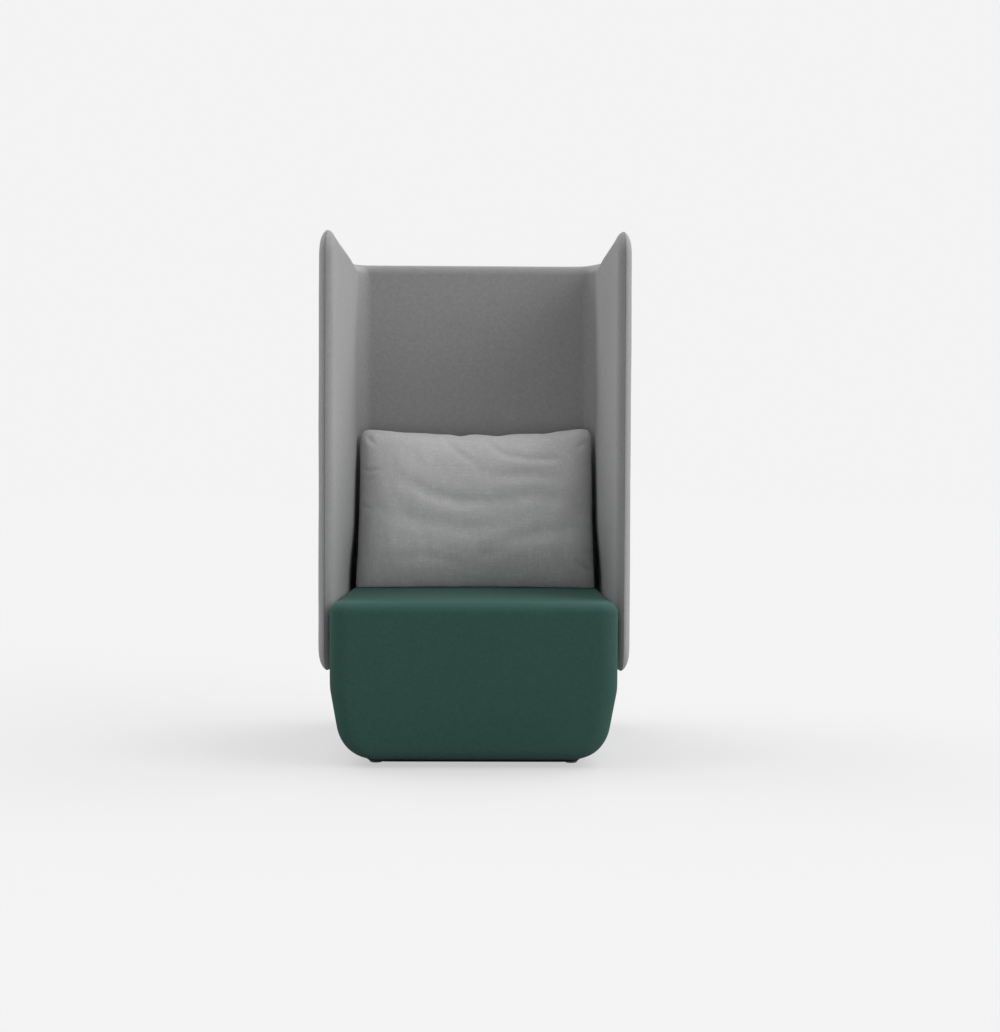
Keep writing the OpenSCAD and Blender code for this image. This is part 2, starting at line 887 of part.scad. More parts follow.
module cushion_cover_front() {
    color(pale_cloth)
        slab_solid(
            cushion_grid(cushion_front, seam_gap, 1, 0),
            cushion_grid(cushion_front - fabric_t, seam_gap, 1, fabric_t)
        );
}

module cushion_cover_back() {
    color(pale_cloth)
        slab_solid(
            cushion_grid(cushion_back - fabric_t, seam_gap, -1, fabric_t),
            cushion_grid(cushion_back, seam_gap, -1, 0)
        );
}

module cushion_filling() {
    inside = fabric_t + filling_gap;
    color(fibre_white)
        slab_solid(
            cushion_grid(cushion_front - inside, seam_gap, 1, inside),
            cushion_grid(cushion_back - inside, seam_gap, -1, inside)
        );
}

// The pieces

base_cover();
seat_foam();
front_foam();
rear_foam();
side_foam_left();
side_foam_right();
frame_front_panel();
frame_rear_panel();
frame_centre_rib();
frame_side_left();
frame_side_right();
frame_floor();
corner_blocks();
frame_screws();
seat_straps_long();
seat_straps_cross();
dust_cover();
foot_tee_nuts();
screen_core();
screen_foam_inner();
screen_foam_outer();
screen_cover_inner();
screen_cover_outer();
screen_bolts();
screen_washers();
screen_tee_nuts();
foot_pad(-foot_x, front_foot_y);  // foot_front_left_pad
foot_stud(-foot_x, front_foot_y);  // foot_front_left_stud
foot_pad(foot_x, front_foot_y);  // foot_front_right_pad
foot_stud(foot_x, front_foot_y);  // foot_front_right_stud
foot_pad(-foot_x, rear_foot_y);  // foot_rear_left_pad
foot_stud(-foot_x, rear_foot_y);  // foot_rear_left_stud
foot_pad(foot_x, rear_foot_y);  // foot_rear_right_pad
foot_stud(foot_x, rear_foot_y);  // foot_rear_right_stud
cushion_cover_front();
cushion_cover_back();
cushion_filling();
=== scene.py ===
import math

import bmesh
import bpy
from bpy.props import FloatProperty, FloatVectorProperty, IntProperty, PointerProperty
from bpy.types import Operator, Panel, PropertyGroup
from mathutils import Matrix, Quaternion, Vector, noise


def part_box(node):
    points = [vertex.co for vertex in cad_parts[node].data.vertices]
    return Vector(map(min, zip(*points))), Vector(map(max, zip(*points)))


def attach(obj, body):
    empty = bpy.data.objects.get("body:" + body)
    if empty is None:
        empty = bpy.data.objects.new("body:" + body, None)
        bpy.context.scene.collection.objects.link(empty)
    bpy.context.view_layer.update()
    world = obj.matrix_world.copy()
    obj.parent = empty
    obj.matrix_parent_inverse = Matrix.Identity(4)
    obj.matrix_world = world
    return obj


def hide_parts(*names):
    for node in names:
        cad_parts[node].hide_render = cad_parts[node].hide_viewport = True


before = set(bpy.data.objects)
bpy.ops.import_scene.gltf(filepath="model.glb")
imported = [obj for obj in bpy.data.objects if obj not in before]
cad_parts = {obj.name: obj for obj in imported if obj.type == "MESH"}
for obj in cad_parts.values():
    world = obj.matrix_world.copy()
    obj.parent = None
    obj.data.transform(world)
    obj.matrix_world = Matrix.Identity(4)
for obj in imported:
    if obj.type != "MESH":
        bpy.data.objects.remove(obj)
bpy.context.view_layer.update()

bl_info = {
    "name": "High back lounge chair",
    "version": (1, 0, 0),
    "blender": (4, 5, 0),
    "location": "3D View > Sidebar > Chair",
    "description": "Felt seat block, padded screen, linen back cushion and levelling feet",
    "category": "Object",
}

MM = 0.001
BLOCK_LOW, BLOCK_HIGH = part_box("base_cover")
SCREEN_LOW, SCREEN_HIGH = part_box("screen_cover_outer")
FEET = ("front_left", "front_right", "rear_left", "rear_right")


# Settings

class ChairSizes(PropertyGroup):
    """Sizes that the covers and the cushion are made to"""

    block_front_r: FloatProperty(
        name="Front edges", description="Radius of the block's upright front edges",
        default=52 * MM, unit="LENGTH")
    block_rear_r: FloatProperty(
        name="Rear edges", description="Radius of the block's upright rear edges",
        default=43.2 * MM, unit="LENGTH")
    seat_edge_r: FloatProperty(
        name="Seat edge", description="Radius of the edge round the seat",
        default=28 * MM, unit="LENGTH")
    under_edge_r: FloatProperty(
        name="Under edge", description="Radius of the edge under the front and the back",
        default=28 * MM, unit="LENGTH")
    seat_crown: FloatProperty(
        name="Seat crown", description="Rise of the middle of the seat over its edge",
        default=5 * MM, unit="LENGTH")
    tub_r: FloatProperty(
        name="Tub radius", description="Radius of the tub-shaped lower sides",
        default=104 * MM, unit="LENGTH")
    tub_sink: FloatProperty(
        name="Tub sink", description="How far the tub's arc would run on below the underside",
        default=4 * MM, unit="LENGTH")
    tub_h: FloatProperty(
        name="Tub height", description="Height over which the sides lean in",
        default=182 * MM, unit="LENGTH")
    tub_angle: FloatProperty(
        name="Tub lean", description="Lean of the lower sides",
        default=math.radians(10.5), subtype="ANGLE")
    screen_t: FloatProperty(
        name="Screen thickness", description="Thickness of the padded screen",
        default=40 * MM, unit="LENGTH")
    screen_plan_r: FloatProperty(
        name="Screen back corners", description="Radius of the screen's back corners at its middle",
        default=64 * MM, unit="LENGTH")
    wing_swell: FloatProperty(
        name="Wing swell", description="How much thicker the wings' inner padding is at the back",
        default=10 * MM, unit="LENGTH")
    screen_side_r: FloatProperty(
        name="Screen free corners", description="Radius of the wings' free corners, from the side",
        default=75 * MM, unit="LENGTH")
    corner_lift: FloatProperty(
        name="Corner lift", description="How much higher the padding stands at the right back corner",
        default=6.5 * MM, unit="LENGTH")
    taper_inside: FloatProperty(
        name="Taper inside", description="Depth over which the inner padding rounds off to the seam",
        default=30 * MM, unit="LENGTH")
    taper_outside: FloatProperty(
        name="Taper outside", description="Depth over which the outer padding rounds off to the seam",
        default=38 * MM, unit="LENGTH")
    edge_inside: FloatProperty(
        name="Edge inside", description="Fullness of the screen's edge inside the seam, 2 for an arc",
        default=1.8, min=1.2, max=2.6)
    edge_outside: FloatProperty(
        name="Edge outside", description="Fullness of the screen's edge outside the seam, 2 for an arc",
        default=1.7, min=1.2, max=2.6)
    cushion_half_w: FloatProperty(
        name="Cushion half width", description="Half the width of the cushion at its corners",
        default=356 * MM, unit="LENGTH")
    cushion_h: FloatProperty(
        name="Cushion height", description="Height of the cushion along its lean",
        default=531 * MM, unit="LENGTH")
    cushion_corner_r: FloatProperty(
        name="Cushion corners", description="Radius of the cushion's corners",
        default=26 * MM, unit="LENGTH")
    cushion_dip: FloatProperty(
        name="Top edge dip", description="How far the middle of the cushion's top edge hangs",
        default=17 * MM, unit="LENGTH")
    cushion_ear: FloatProperty(
        name="Cushion ear", description="How far the cushion's right top corner is pulled up",
        default=6 * MM, unit="LENGTH")
    cushion_sink: FloatProperty(
        name="Cushion sink", description="How much of its height is pressed flat on the seat",
        default=35 * MM, unit="LENGTH")
    cushion_front: FloatProperty(
        name="Front swell", description="Depth of the cushion's front swell",
        default=92 * MM, unit="LENGTH")
    cushion_back: FloatProperty(
        name="Back swell", description="Depth of the cushion's back swell",
        default=66 * MM, unit="LENGTH")
    cushion_lean: FloatProperty(
        name="Cushion lean", description="Lean of the cushion from upright",
        default=math.radians(17), subtype="ANGLE")
    cushion_foot_y: FloatProperty(
        name="Cushion foot", description="Place of the cushion's lower seam along Y",
        default=164 * MM, unit="LENGTH")
    puff_frames: IntProperty(
        name="Puff frames", description="Frames that the cushion is puffed up for",
        default=20, min=5, max=40)
    puff_limit: FloatProperty(
        name="Puff limit", description="Farthest that a point of the cushion may move",
        default=22 * MM, unit="LENGTH")


class ChairColours(PropertyGroup):
    """Colours of the cloths, the padding and the frame"""

    green_felt: FloatVectorProperty(
        name="Green felt", description="Wool felt of the seat block",
        default=(0.0366, 0.0882, 0.0738), subtype="COLOR")
    grey_felt: FloatVectorProperty(
        name="Grey felt", description="Wool felt of the screen",
        default=(0.337, 0.337, 0.337), subtype="COLOR")
    linen: FloatVectorProperty(
        name="Linen", description="Woven cloth of the cushion",
        default=(0.65, 0.65, 0.65), subtype="COLOR")
    foot_brown: FloatVectorProperty(
        name="Foot plastic", description="Moulded plastic of the feet",
        default=(0.030, 0.014, 0.012), subtype="COLOR")
    underlining: FloatVectorProperty(
        name="Underlining", description="Thin cloth under the block",
        default=(0.018, 0.018, 0.019), subtype="COLOR")
    foam: FloatVectorProperty(
        name="Foam", description="Foam inside the covers",
        default=(0.68, 0.60, 0.34), subtype="COLOR")
    fibre: FloatVectorProperty(
        name="Fibre", description="Fibre filling of the cushion",
        default=(0.78, 0.78, 0.75), subtype="COLOR")
    plywood: FloatVectorProperty(
        name="Plywood", description="Boards of the frame and the screen's core",
        default=(0.52, 0.34, 0.17), subtype="COLOR")
    elastic: FloatVectorProperty(
        name="Elastic", description="Woven elastic straps under the seat",
        default=(0.020, 0.020, 0.022), subtype="COLOR")
    steel: FloatVectorProperty(
        name="Steel", description="Zinc plated bolts, screws, washers and nuts",
        default=(0.55, 0.56, 0.58), subtype="COLOR")
    backdrop: FloatVectorProperty(
        name="Backdrop", description="Pale colour of the floor and the backdrop",
        default=(0.8963, 0.8963, 0.8963), subtype="COLOR")


# Materials

class Nodes:
    """A material's nodes, added one by one"""

    def __init__(self, name):
        self.material = bpy.data.materials.new(name)
        self.material.use_nodes = True
        self.tree = self.material.node_tree
        self.shader = self.tree.nodes["Principled BSDF"]
        self.place = self.add("ShaderNodeTexCoord").outputs["Object"]

    def add(self, kind, inputs=(), **settings):
        node = self.tree.nodes.new(kind)
        for name, value in settings.items():
            setattr(node, name, value)
        for key, value in dict(inputs).items():
            if isinstance(value, bpy.types.NodeSocket):
                self.tree.links.new(value, node.inputs[key])
            else:
                node.inputs[key].default_value = value
        return node

    def noise(self, scale, detail=2.0, rough=0.5, stretch=(1, 1, 1), turn=(0, 0, 0)):
        spot = self.add("ShaderNodeMapping", {
            "Vector": self.place, "Scale": stretch, "Rotation": turn})
        cloud = self.add("ShaderNodeTexNoise", {
            "Vector": spot.outputs[0], "Scale": scale, "Detail": detail, "Roughness": rough})
        return cloud.outputs["Fac"]

    def wave(self, scale, axis, distortion=0.0, turn=(0, 0, 0)):
        spot = self.add("ShaderNodeMapping", {"Vector": self.place, "Rotation": turn})
        bands = self.add("ShaderNodeTexWave", {
            "Vector": spot.outputs[0], "Scale": scale, "Distortion": distortion,
            "Detail": 2.0, "Detail Scale": 1.5}, wave_type="BANDS", bands_direction=axis)
        return bands.outputs["Fac"]

    def span(self, value, low, high, to_low, to_high):
        node = self.add("ShaderNodeMapRange", {
            "Value": value, "From Min": low, "From Max": high, "To Min": to_low, "To Max": to_high})
        return node.outputs[0]

    def sums(self, kind, a, b):
        return self.add("ShaderNodeMath", {0: a, 1: b}, operation=kind).outputs[0]

    def mixed(self, share, first, second):
        node = self.add("ShaderNodeMix", data_type="RGBA")
        sockets = {s.identifier: s for s in node.inputs}
        self.tree.links.new(share, sockets["Factor_Float"])
        for key, value in (("A_Color", first), ("B_Color", second)):
            if isinstance(value, bpy.types.NodeSocket):
                self.tree.links.new(value, sockets[key])
            else:
                sockets[key].default_value = (*value, 1)
        return next(s for s in node.outputs if s.identifier == "Result_Color")

    def bumped(self, height, distance, strength=1.0, under=None):
        inputs = {"Height": height, "Distance": distance, "Strength": strength}
        if under:
            inputs["Normal"] = under
        return self.add("ShaderNodeBump", inputs).outputs[0]

    def finish(self, colour, roughness, normal=None, **fixed):
        for key, value in (("Base Color", colour), ("Roughness", roughness), ("Normal", normal)):
            if value is not None:
                self.tree.links.new(value, self.shader.inputs[key])
        for key, value in fixed.items():
            self.shader.inputs[key.replace("_", " ")].default_value = value
        return self.material


def tinted(colour, share):
    return tuple(min(1.0, c * share) for c in colour)


def felt(name, colour, sheen):
    """Milled wool felt of crossing fibres with a soft melange, darker along a seam with painted shade
    """
    n = Nodes(name)
    long_fibres = n.noise(420, 3, 0.6, (1, 0.16, 0.35), (0.3, 0.5, 0.9))
    cross_fibres = n.noise(420, 3, 0.6, (0.2, 1, 0.3), (0.8, -0.4, -0.5))
    upright_fibres = n.noise(480, 3, 0.6, (1, 0.9, 0.14), (0.25, -0.2, 0.4))
    fibres = n.sums("ADD", n.sums("ADD", long_fibres, cross_fibres), upright_fibres)
    melange = n.noise(38, 4, 0.62)
    patches = n.noise(5, 2, 0.5)
    tone = n.mixed(n.span(fibres, 1.1, 1.9, 0, 1), tinted(colour, 0.88), tinted(colour, 1.13))
    tone = n.mixed(n.span(melange, 0.35, 0.65, 0, 0.10), tone, tinted(colour, 1.12))
    tone = n.mixed(n.span(patches, 0.35, 0.65, 0, 0.10), tone, tinted(colour, 0.90))
    # Painted shade: the pressed attribute darkens the felt near the screen's seam, standing in for the
    # shade in the groove there
    pressed = n.add("ShaderNodeAttribute", attribute_name="pressed").outputs["Fac"]
    tone = n.mixed(n.sums("MULTIPLY", pressed, 0.38), tone, tinted(colour, 0.42))
    height = n.sums("ADD", fibres, n.sums("MULTIPLY", melange, 0.35))
    normal = n.bumped(height, 0.22 * MM, 0.7)
    rough = n.span(fibres, 1.1, 1.9, 0.84, 0.98)
    return n.finish(tone, rough, normal, Sheen_Weight=sheen, Sheen_Roughness=0.5,
                    Specular_IOR_Level=0.06)


def linen(name, colour, lean):
    """Plain weave with slubs, and a darker line where its two halves are sewn together"""
    n = Nodes(name)
    turn = (lean, 0, 0)
    across = n.noise(820, 2, 0.6, (0.05, 1, 1), turn)
    upright = n.noise(820, 2, 0.6, (1, 1, 0.05), turn)
    slubs = n.noise(210, 2, 0.5, (0.08, 1, 1), turn)
    slubs_up = n.noise(210, 2, 0.5, (1, 1, 0.08), turn)
    threads = n.sums("ADD", across, upright)
    weave = n.sums("ADD", n.wave(330, "X", 0.6, turn), n.wave(330, "Z", 0.6, turn))
    patches = n.noise(9, 3, 0.55)
    tone = n.mixed(n.span(threads, 0.7, 1.3, 0, 1), tinted(colour, 0.84), tinted(colour, 1.14))
    thick_threads = n.span(n.sums("ADD", slubs, slubs_up), 1.02, 1.3, 0, 0.5)
    tone = n.mixed(thick_threads, tone, tinted(colour, 1.25))
    tone = n.mixed(n.span(patches, 0.35, 0.65, 0, 0.16), tone, tinted(colour, 0.88))
    seam = n.add("ShaderNodeAttribute", attribute_name="seam").outputs["Fac"]
    line = n.span(n.sums("ABSOLUTE", seam, 0.0), 0.5 * MM, 1.7 * MM, 1, 0)
    tone = n.mixed(n.sums("MULTIPLY", line, 0.55), tone, tinted(colour, 0.28))
    height = n.sums("ADD", n.sums("MULTIPLY", weave, 0.45), n.sums("ADD", threads, slubs))
    normal = n.bumped(height, 0.3 * MM, 0.7)
    normal = n.bumped(line, -1.2 * MM, 0.6, normal)
    rough = n.span(threads, 0.7, 1.3, 0.78, 0.94)
    return n.finish(tone, rough, normal, Sheen_Weight=0.08, Sheen_Roughness=0.5,
                    Specular_IOR_Level=0.25)


def moulded(name, colour):
    """Moulded plastic with a fine grain"""
    n = Nodes(name)
    grain = n.noise(1400, 2, 0.5)
    scuffs = n.noise(90, 4, 0.7, (1, 1, 0.3))
    tone = n.mixed(n.span(scuffs, 0.4, 0.7, 0, 0.5), tinted(colour, 0.85), tinted(colour, 1.5))
    rough = n.span(grain, 0.3, 0.7, 0.38, 0.56)
    return n.finish(tone, rough, n.bumped(grain, 0.08 * MM, 0.6), Specular_IOR_Level=0.45)


def open_foam(name, colour):
    """Cut foam with open cells"""
    n = Nodes(name)
    cells = n.add("ShaderNodeTexVoronoi", {"Vector": n.place, "Scale": 620.0}).outputs["Distance"]
    patches = n.noise(26, 3, 0.6)
    tone = n.mixed(n.span(cells, 0.1, 0.7, 0, 1), tinted(colour, 0.72), tinted(colour, 1.08))
    tone = n.mixed(n.span(patches, 0.35, 0.65, 0, 0.2), tone, tinted(colour, 0.85))
    rough = n.span(cells, 0, 0.8, 0.97, 0.86)
    return n.finish(tone, rough, n.bumped(cells, 0.5 * MM, 0.8), Specular_IOR_Level=0.15)


def loose_fibre(name, colour):
    """Carded fibre wadding"""
    n = Nodes(name)
    strands = n.noise(300, 5, 0.75, (1, 0.3, 0.5), (0.4, 0.2, 0.7))
    tufts = n.noise(30, 3, 0.6)
    tone = n.mixed(n.span(strands, 0.35, 0.65, 0, 1), tinted(colour, 0.86), tinted(colour, 1.08))
    rough = n.span(strands, 0.3, 0.7, 0.88, 0.98)
    normal = n.bumped(n.sums("ADD", strands, n.sums("MULTIPLY", tufts, 3.0)), 1.5 * MM, 0.8)
    return n.finish(tone, rough, normal, Sheen_Weight=0.1, Sheen_Roughness=0.5,
                    Specular_IOR_Level=0.2)


def layered_wood(name, colour):
    """Birch plywood with its grain, veneers and pores"""
    n = Nodes(name)
    grain = n.noise(70, 5, 0.6, (0.05, 1, 1), (0, 0, 0.02))
    pores = n.noise(900, 2, 0.5, (0.04, 1, 1))
    veneers = n.wave(105, "Z", 0.25)
    tone = n.mixed(n.span(grain, 0.35, 0.65, 0, 1), tinted(colour, 0.82), tinted(colour, 1.16))
    tone = n.mixed(n.span(veneers, 0.3, 0.9, 0, 0.22), tone, tinted(colour, 0.66))
    tone = n.mixed(n.span(pores, 0.58, 0.72, 0, 0.4), tone, tinted(colour, 0.5))
    rough = n.span(grain, 0.3, 0.7, 0.48, 0.66)
    return n.finish(tone, rough, n.bumped(n.sums("ADD", grain, pores), 0.2 * MM, 0.6))


def plated_steel(name, colour):
    """Zinc plated steel with fine turning marks"""
    n = Nodes(name)
    marks = n.noise(1500, 3, 0.6, (0.1, 1, 1))
    bloom = n.noise(120, 3, 0.6)
    tone = n.mixed(n.span(bloom, 0.3, 0.7, 0, 1), tinted(colour, 0.85), tinted(colour, 1.1))
    rough = n.span(marks, 0.3, 0.7, 0.26, 0.42)
    return n.finish(tone, rough, n.bumped(marks, 0.05 * MM, 0.5), Metallic=1.0)


def woven_elastic(name, colour):
    """Woven elastic webbing with lengthwise ribs"""
    n = Nodes(name)
    ribs = n.sums("ADD", n.wave(260, "X"), n.wave(260, "Y"))
    threads = n.noise(900, 2, 0.5)
    tone = n.mixed(n.span(ribs, 0.4, 1.6, 0, 1), tinted(colour, 0.7), tinted(colour, 1.9))
    rough = n.span(threads, 0.3, 0.7, 0.7, 0.9)
    return n.finish(tone, rough, n.bumped(n.sums("ADD", ribs, threads), 0.4 * MM, 0.7))


def spunbond(name, colour):
    """Thin non-woven underlining with its pressed dots"""
    n = Nodes(name)
    cells = {"Vector": n.place, "Scale": 420.0, "Randomness": 0.15}
    dots = n.add("ShaderNodeTexVoronoi", cells).outputs["Distance"]
    strands = n.noise(700, 3, 0.6, (1, 0.4, 1))
    tone = n.mixed(n.span(dots, 0.1, 0.5, 0, 1), tinted(colour, 0.6), tinted(colour, 1.8))
    tone = n.mixed(n.span(strands, 0.4, 0.65, 0, 0.3), tone, tinted(colour, 2.2))
    rough = n.span(strands, 0.3, 0.7, 0.75, 0.92)
    return n.finish(tone, rough, n.bumped(dots, 0.2 * MM, 0.7), Specular_IOR_Level=0.3)


# Shared steps

def kept(bm, name, material, levels=0, wall=0.0):
    """The finished mesh as an object at the origin, with smooth faces and its modifiers"""
    mesh = bpy.data.meshes.new(name)
    for face in bm.faces:
        face.smooth = True
    bm.to_mesh(mesh)
    bm.free()
    mesh.materials.append(material)
    piece = bpy.data.objects.new(name, mesh)
    bpy.context.scene.collection.objects.link(piece)
    if wall:
        cloth = piece.modifiers.new("Cloth thickness", "SOLIDIFY")
        cloth.thickness, cloth.offset, cloth.use_even_offset = wall, -1, True
    if levels:
        smooth = piece.modifiers.new("Smooth", "SUBSURF")
        smooth.levels = smooth.render_levels = levels
    return piece


def round_outline(bm, corners, radii, cuts, steps):
    """A closed ring of edges: a flat four-cornered face with bevelled corners and its sides cut up"""
    points = [bm.verts.new(corner) for corner in corners]
    bm.faces.new(points)
    for radius in sorted(set(radii)):
        chosen = [p for p, r in zip(points, radii) if r == radius]
        bmesh.ops.bevel(bm, geom=chosen, offset=radius, offset_type="OFFSET", segments=steps,
                        profile=0.5, affect="VERTICES", material=-1)
    sides = sorted(bm.edges, key=lambda e: -e.calc_length())[:4]
    for side in sides:
        a, b = (v.co for v in side.verts)
        bmesh.ops.subdivide_edges(bm, edges=[side], cuts=cuts[0 if abs(a.x - b.x) > 1e-4 else 1])
    bmesh.ops.delete(bm, geom=list(bm.faces), context="FACES_ONLY")
    return list(bm.edges)


def next_ring(bm, edges, placed):
    """Extrudes a ring of edges once more and puts each new point where placed says"""
    made = bmesh.ops.extrude_edge_only(bm, edges=edges)["geom"]
    for point in made:
        if isinstance(point, bmesh.types.BMVert):
            point.co = placed(point)
    return [e for e in made if isinstance(e, bmesh.types.BMEdge)]


def eased(value, low, high):
    share = min(1.0, max(0.0, (value - low) / (high - low)))
    return share * share * (3 - 2 * share)


def hump(value, middle, width):
    return math.exp(-((value - middle) / width) ** 2)


def bare(bm, *names):
    """Takes the working layers off a finished mesh"""
    layers = bm.verts.layers.float_vector
    for name in names:
        layers.remove(layers[name])
    return bm


# Seat block

UNDERSIDE = 16 * MM
# Steps up the tub's arc, up the straight lean above it and up the upright sides
ARC_STEPS = (0.02, 0.06, 0.11, 0.17, 0.23, 0.3, 0.37, 0.45, 0.53, 0.62, 0.71, 0.8, 0.9, 1.0)
LEAN_STEPS = (0.25, 0.5, 0.75, 0.9)
SIDE_STEPS = (0.12, 0.3, 0.5, 0.7, 0.88, 1.0)
EDGE_STEPS = 8
# Rings over the seat, as shares of its rim
SEAT_RINGS = (0.975, 0.94, 0.89, 0.83, 0.76, 0.68, 0.6, 0.51, 0.42, 0.33, 0.24, 0.15, 0.07)


def seat_height(sizes, x, y):
    """Height of the crowned seat"""
    edge_z = BLOCK_HIGH.z - sizes.seat_crown
    reach_x = BLOCK_HIGH.x - sizes.seat_edge_r
    reach_y = (BLOCK_HIGH.y - BLOCK_LOW.y) / 2 - sizes.seat_edge_r
    off_y = y - (BLOCK_HIGH.y + BLOCK_LOW.y) / 2
    across, along = max(0, 1 - (x / reach_x) ** 2), max(0, 1 - (off_y / reach_y) ** 2)
    return edge_z + sizes.seat_crown * across * along


def drawn_in(value, flat, amount):
    """A side that moves in by an amount, with its round corners kept"""
    if abs(value) <= flat:
        return value * (flat - amount) / flat
    return value - math.copysign(amount, value)


def block_levels(sizes):
    """Levels up the block: draw-in of the sides and of the ends, inset of the ring, height"""
    low = UNDERSIDE
    r, end_r, sink = sizes.tub_r, sizes.under_edge_r, sizes.tub_sink
    lean = sizes.tub_angle
    centre = (sizes.tub_h + sink - r) * math.tan(lean) + r / math.cos(lean)

    def end_at(rise):
        return end_r - math.sqrt(max(0, end_r ** 2 - (end_r - min(rise, end_r)) ** 2))

    first, last = math.acos(1 - sink / r), math.pi / 2 - lean
    flat = centre - r * math.sin(first)
    levels = [(flat + 34 * MM, end_r + 30 * MM, 0, low + 0.15 * MM),
              (flat + 8 * MM, end_r + 5 * MM, 0, low + 0.1 * MM),
              (flat + 1.5 * MM, end_r + 1 * MM, 0, low + 0.1 * MM)]
    for step in ARC_STEPS:
        turn = first + (last - first) * step
        rise = r * (1 - math.cos(turn)) - sink
        levels.append((centre - r * math.sin(turn), end_at(rise), 0, low + rise))
    side, top = levels[-1][0], levels[-1][3]
    bend = low + sizes.tub_h
    for step in LEAN_STEPS:
        levels.append((side * (1 - step), 0, 0, top + (bend - top) * step))
    levels.append((0.35 * MM, 0, 0, bend + 2 * MM))
    straight = BLOCK_HIGH.z - sizes.seat_crown - sizes.seat_edge_r
    for step in SIDE_STEPS:
        levels.append((0, 0, 0, bend + (straight - bend) * step))
    for k in range(1, EDGE_STEPS + 1):
        turn = math.pi / 2 * k / EDGE_STEPS
        levels.append((0, 0, sizes.seat_edge_r * (1 - math.cos(turn)),
                       straight + sizes.seat_edge_r * math.sin(turn)))
    return levels


def block_cover_mesh(sizes):
    """The block's shell, ring by ring from its underside up its sides and over the seat"""
    x, y0, y1 = BLOCK_HIGH.x, BLOCK_LOW.y, BLOCK_HIGH.y
    middle = (y0 + y1) / 2
    front_r, rear_r = sizes.block_front_r, sizes.block_rear_r
    bm = bmesh.new()
    home = bm.verts.layers.float_vector.new("home")
    out = bm.verts.layers.float_vector.new("out")
    ring = round_outline(
        bm, [(-x, y0, 0), (x, y0, 0), (x, y1, 0), (-x, y1, 0)],
        [front_r, front_r, rear_r, rear_r], (26, 26), 9)
    for point in bm.verts:
        r = front_r if point.co.y < middle else rear_r
        core_x = max(r - x, min(x - r, point.co.x))
        core = Vector((core_x, max(y0 + r, min(y1 - r, point.co.y)), 0))
        point[home] = point.co
        point[out] = (point.co - core).normalized()

    def placed_at(side, end, inset, z):
        def placed(point):
            spot, facing = point[home], point[out]
            r = front_r if spot.y < middle else rear_r
            flat_y = (y1 - y0) / 2 - r
            px = drawn_in(spot.x, x - r, side) - facing.x * inset
            py = middle + drawn_in(spot.y - middle, flat_y, end) - facing.y * inset
            return Vector((px, py, z))
        return placed

    levels = block_levels(sizes)
    first = placed_at(*levels[0])
    for point in bm.verts:
        point.co = first(point)
    for level in levels[1:]:
        ring = next_ring(bm, ring, placed_at(*level))
    rim = placed_at(*levels[-1])
    for share in SEAT_RINGS:
        def over_seat(point, share=share):
            spot = rim(point)
            px, py = spot.x * share, middle + (spot.y - middle) * share
            return Vector((px, py, seat_height(sizes, px, py)))
        ring = next_ring(bm, ring, over_seat)
    bmesh.ops.contextual_create(bm, geom=ring)
    bmesh.ops.recalc_face_normals(bm, faces=bm.faces)
    bm.normal_update()
    for point in bm.verts:
        if point.co.z > UNDERSIDE + 4 * MM:
            wave = noise.noise(point.co * 9) * 0.7 * MM + noise.noise(point.co * 31) * 0.25 * MM
            point.co += point.normal * wave
    return bare(bm, "home", "out")


class CHAIR_OT_block_cover(Operator):
    """Makes the green felt cover of the seat block"""
    bl_idname = "chair.block_cover"
    bl_label = "Block cover"

    def execute(self, context):
        chair = context.scene
        cover = kept(block_cover_mesh(chair.chair_sizes), "block_cover",
                     felt("green_felt", chair.chair_colours.green_felt, 0.03), 1, 1.8 * MM)
        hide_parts("base_cover", "seat_foam", "front_foam", "rear_foam", "side_foam_left",
                    "side_foam_right")
        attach(cover, "chair")
        return {"FINISHED"}


# Screen

# The fold at the seam: depth in from the outline and distance from the screen's middle, in mm
SEAM_FOLD = ((5.0, 0.16), (2.0, 0.16), (0.6, 0.18), (0.0, 0.26), (-0.35, 0.5), (-0.4, 0.9), (-0.1, 1.6))
TAPER_STEPS = (0.022, 0.05, 0.09, 0.14, 0.2, 0.28, 0.37, 0.48, 0.6, 0.73, 0.86, 1.0)
# How far from the seam the painted shade reaches
SEAM_SHADE_INSIDE, SEAM_SHADE_OUTSIDE = 25 * MM, 6 * MM
LENGTH_CUTS, HEIGHT_CUTS, CORNER_STEPS = 150, 50, 12


class ScreenPath:
    """The screen's middle seen from above, from the left wing's edge to the right one's"""

    def __init__(self, sizes):
        half = sizes.screen_t / 2
        self.x = SCREEN_HIGH.x - half
        self.y = SCREEN_HIGH.y - half
        self.front = SCREEN_LOW.y
        self.r = sizes.screen_plan_r
        self.wing = self.y - self.r - self.front
        self.arc = math.pi / 2 * self.r
        self.back = 2 * (self.x - self.r)
        self.length = 2 * self.wing + 2 * self.arc + self.back

    def at(self, s):
        """Place and inward direction at a length along the path"""
        if s > self.length / 2:
            spot, inward = self.at(self.length - s)
            return Vector((-spot.x, spot.y, 0)), Vector((-inward.x, inward.y, 0))
        if s < self.wing:
            return Vector((-self.x, self.front + s, 0)), Vector((1, 0, 0))
        if s < self.wing + self.arc:
            turn = (s - self.wing) / self.r
            inward = Vector((math.cos(turn), -math.sin(turn), 0))
            return Vector((self.r - self.x, self.y - self.r, 0)) - inward * self.r, inward
        return Vector((self.r - self.x + s - self.wing - self.arc, self.y, 0)), Vector((0, -1, 0))

    def corner(self):
        """Length along the path at the middle of the left back corner"""
        return self.wing + self.arc / 2


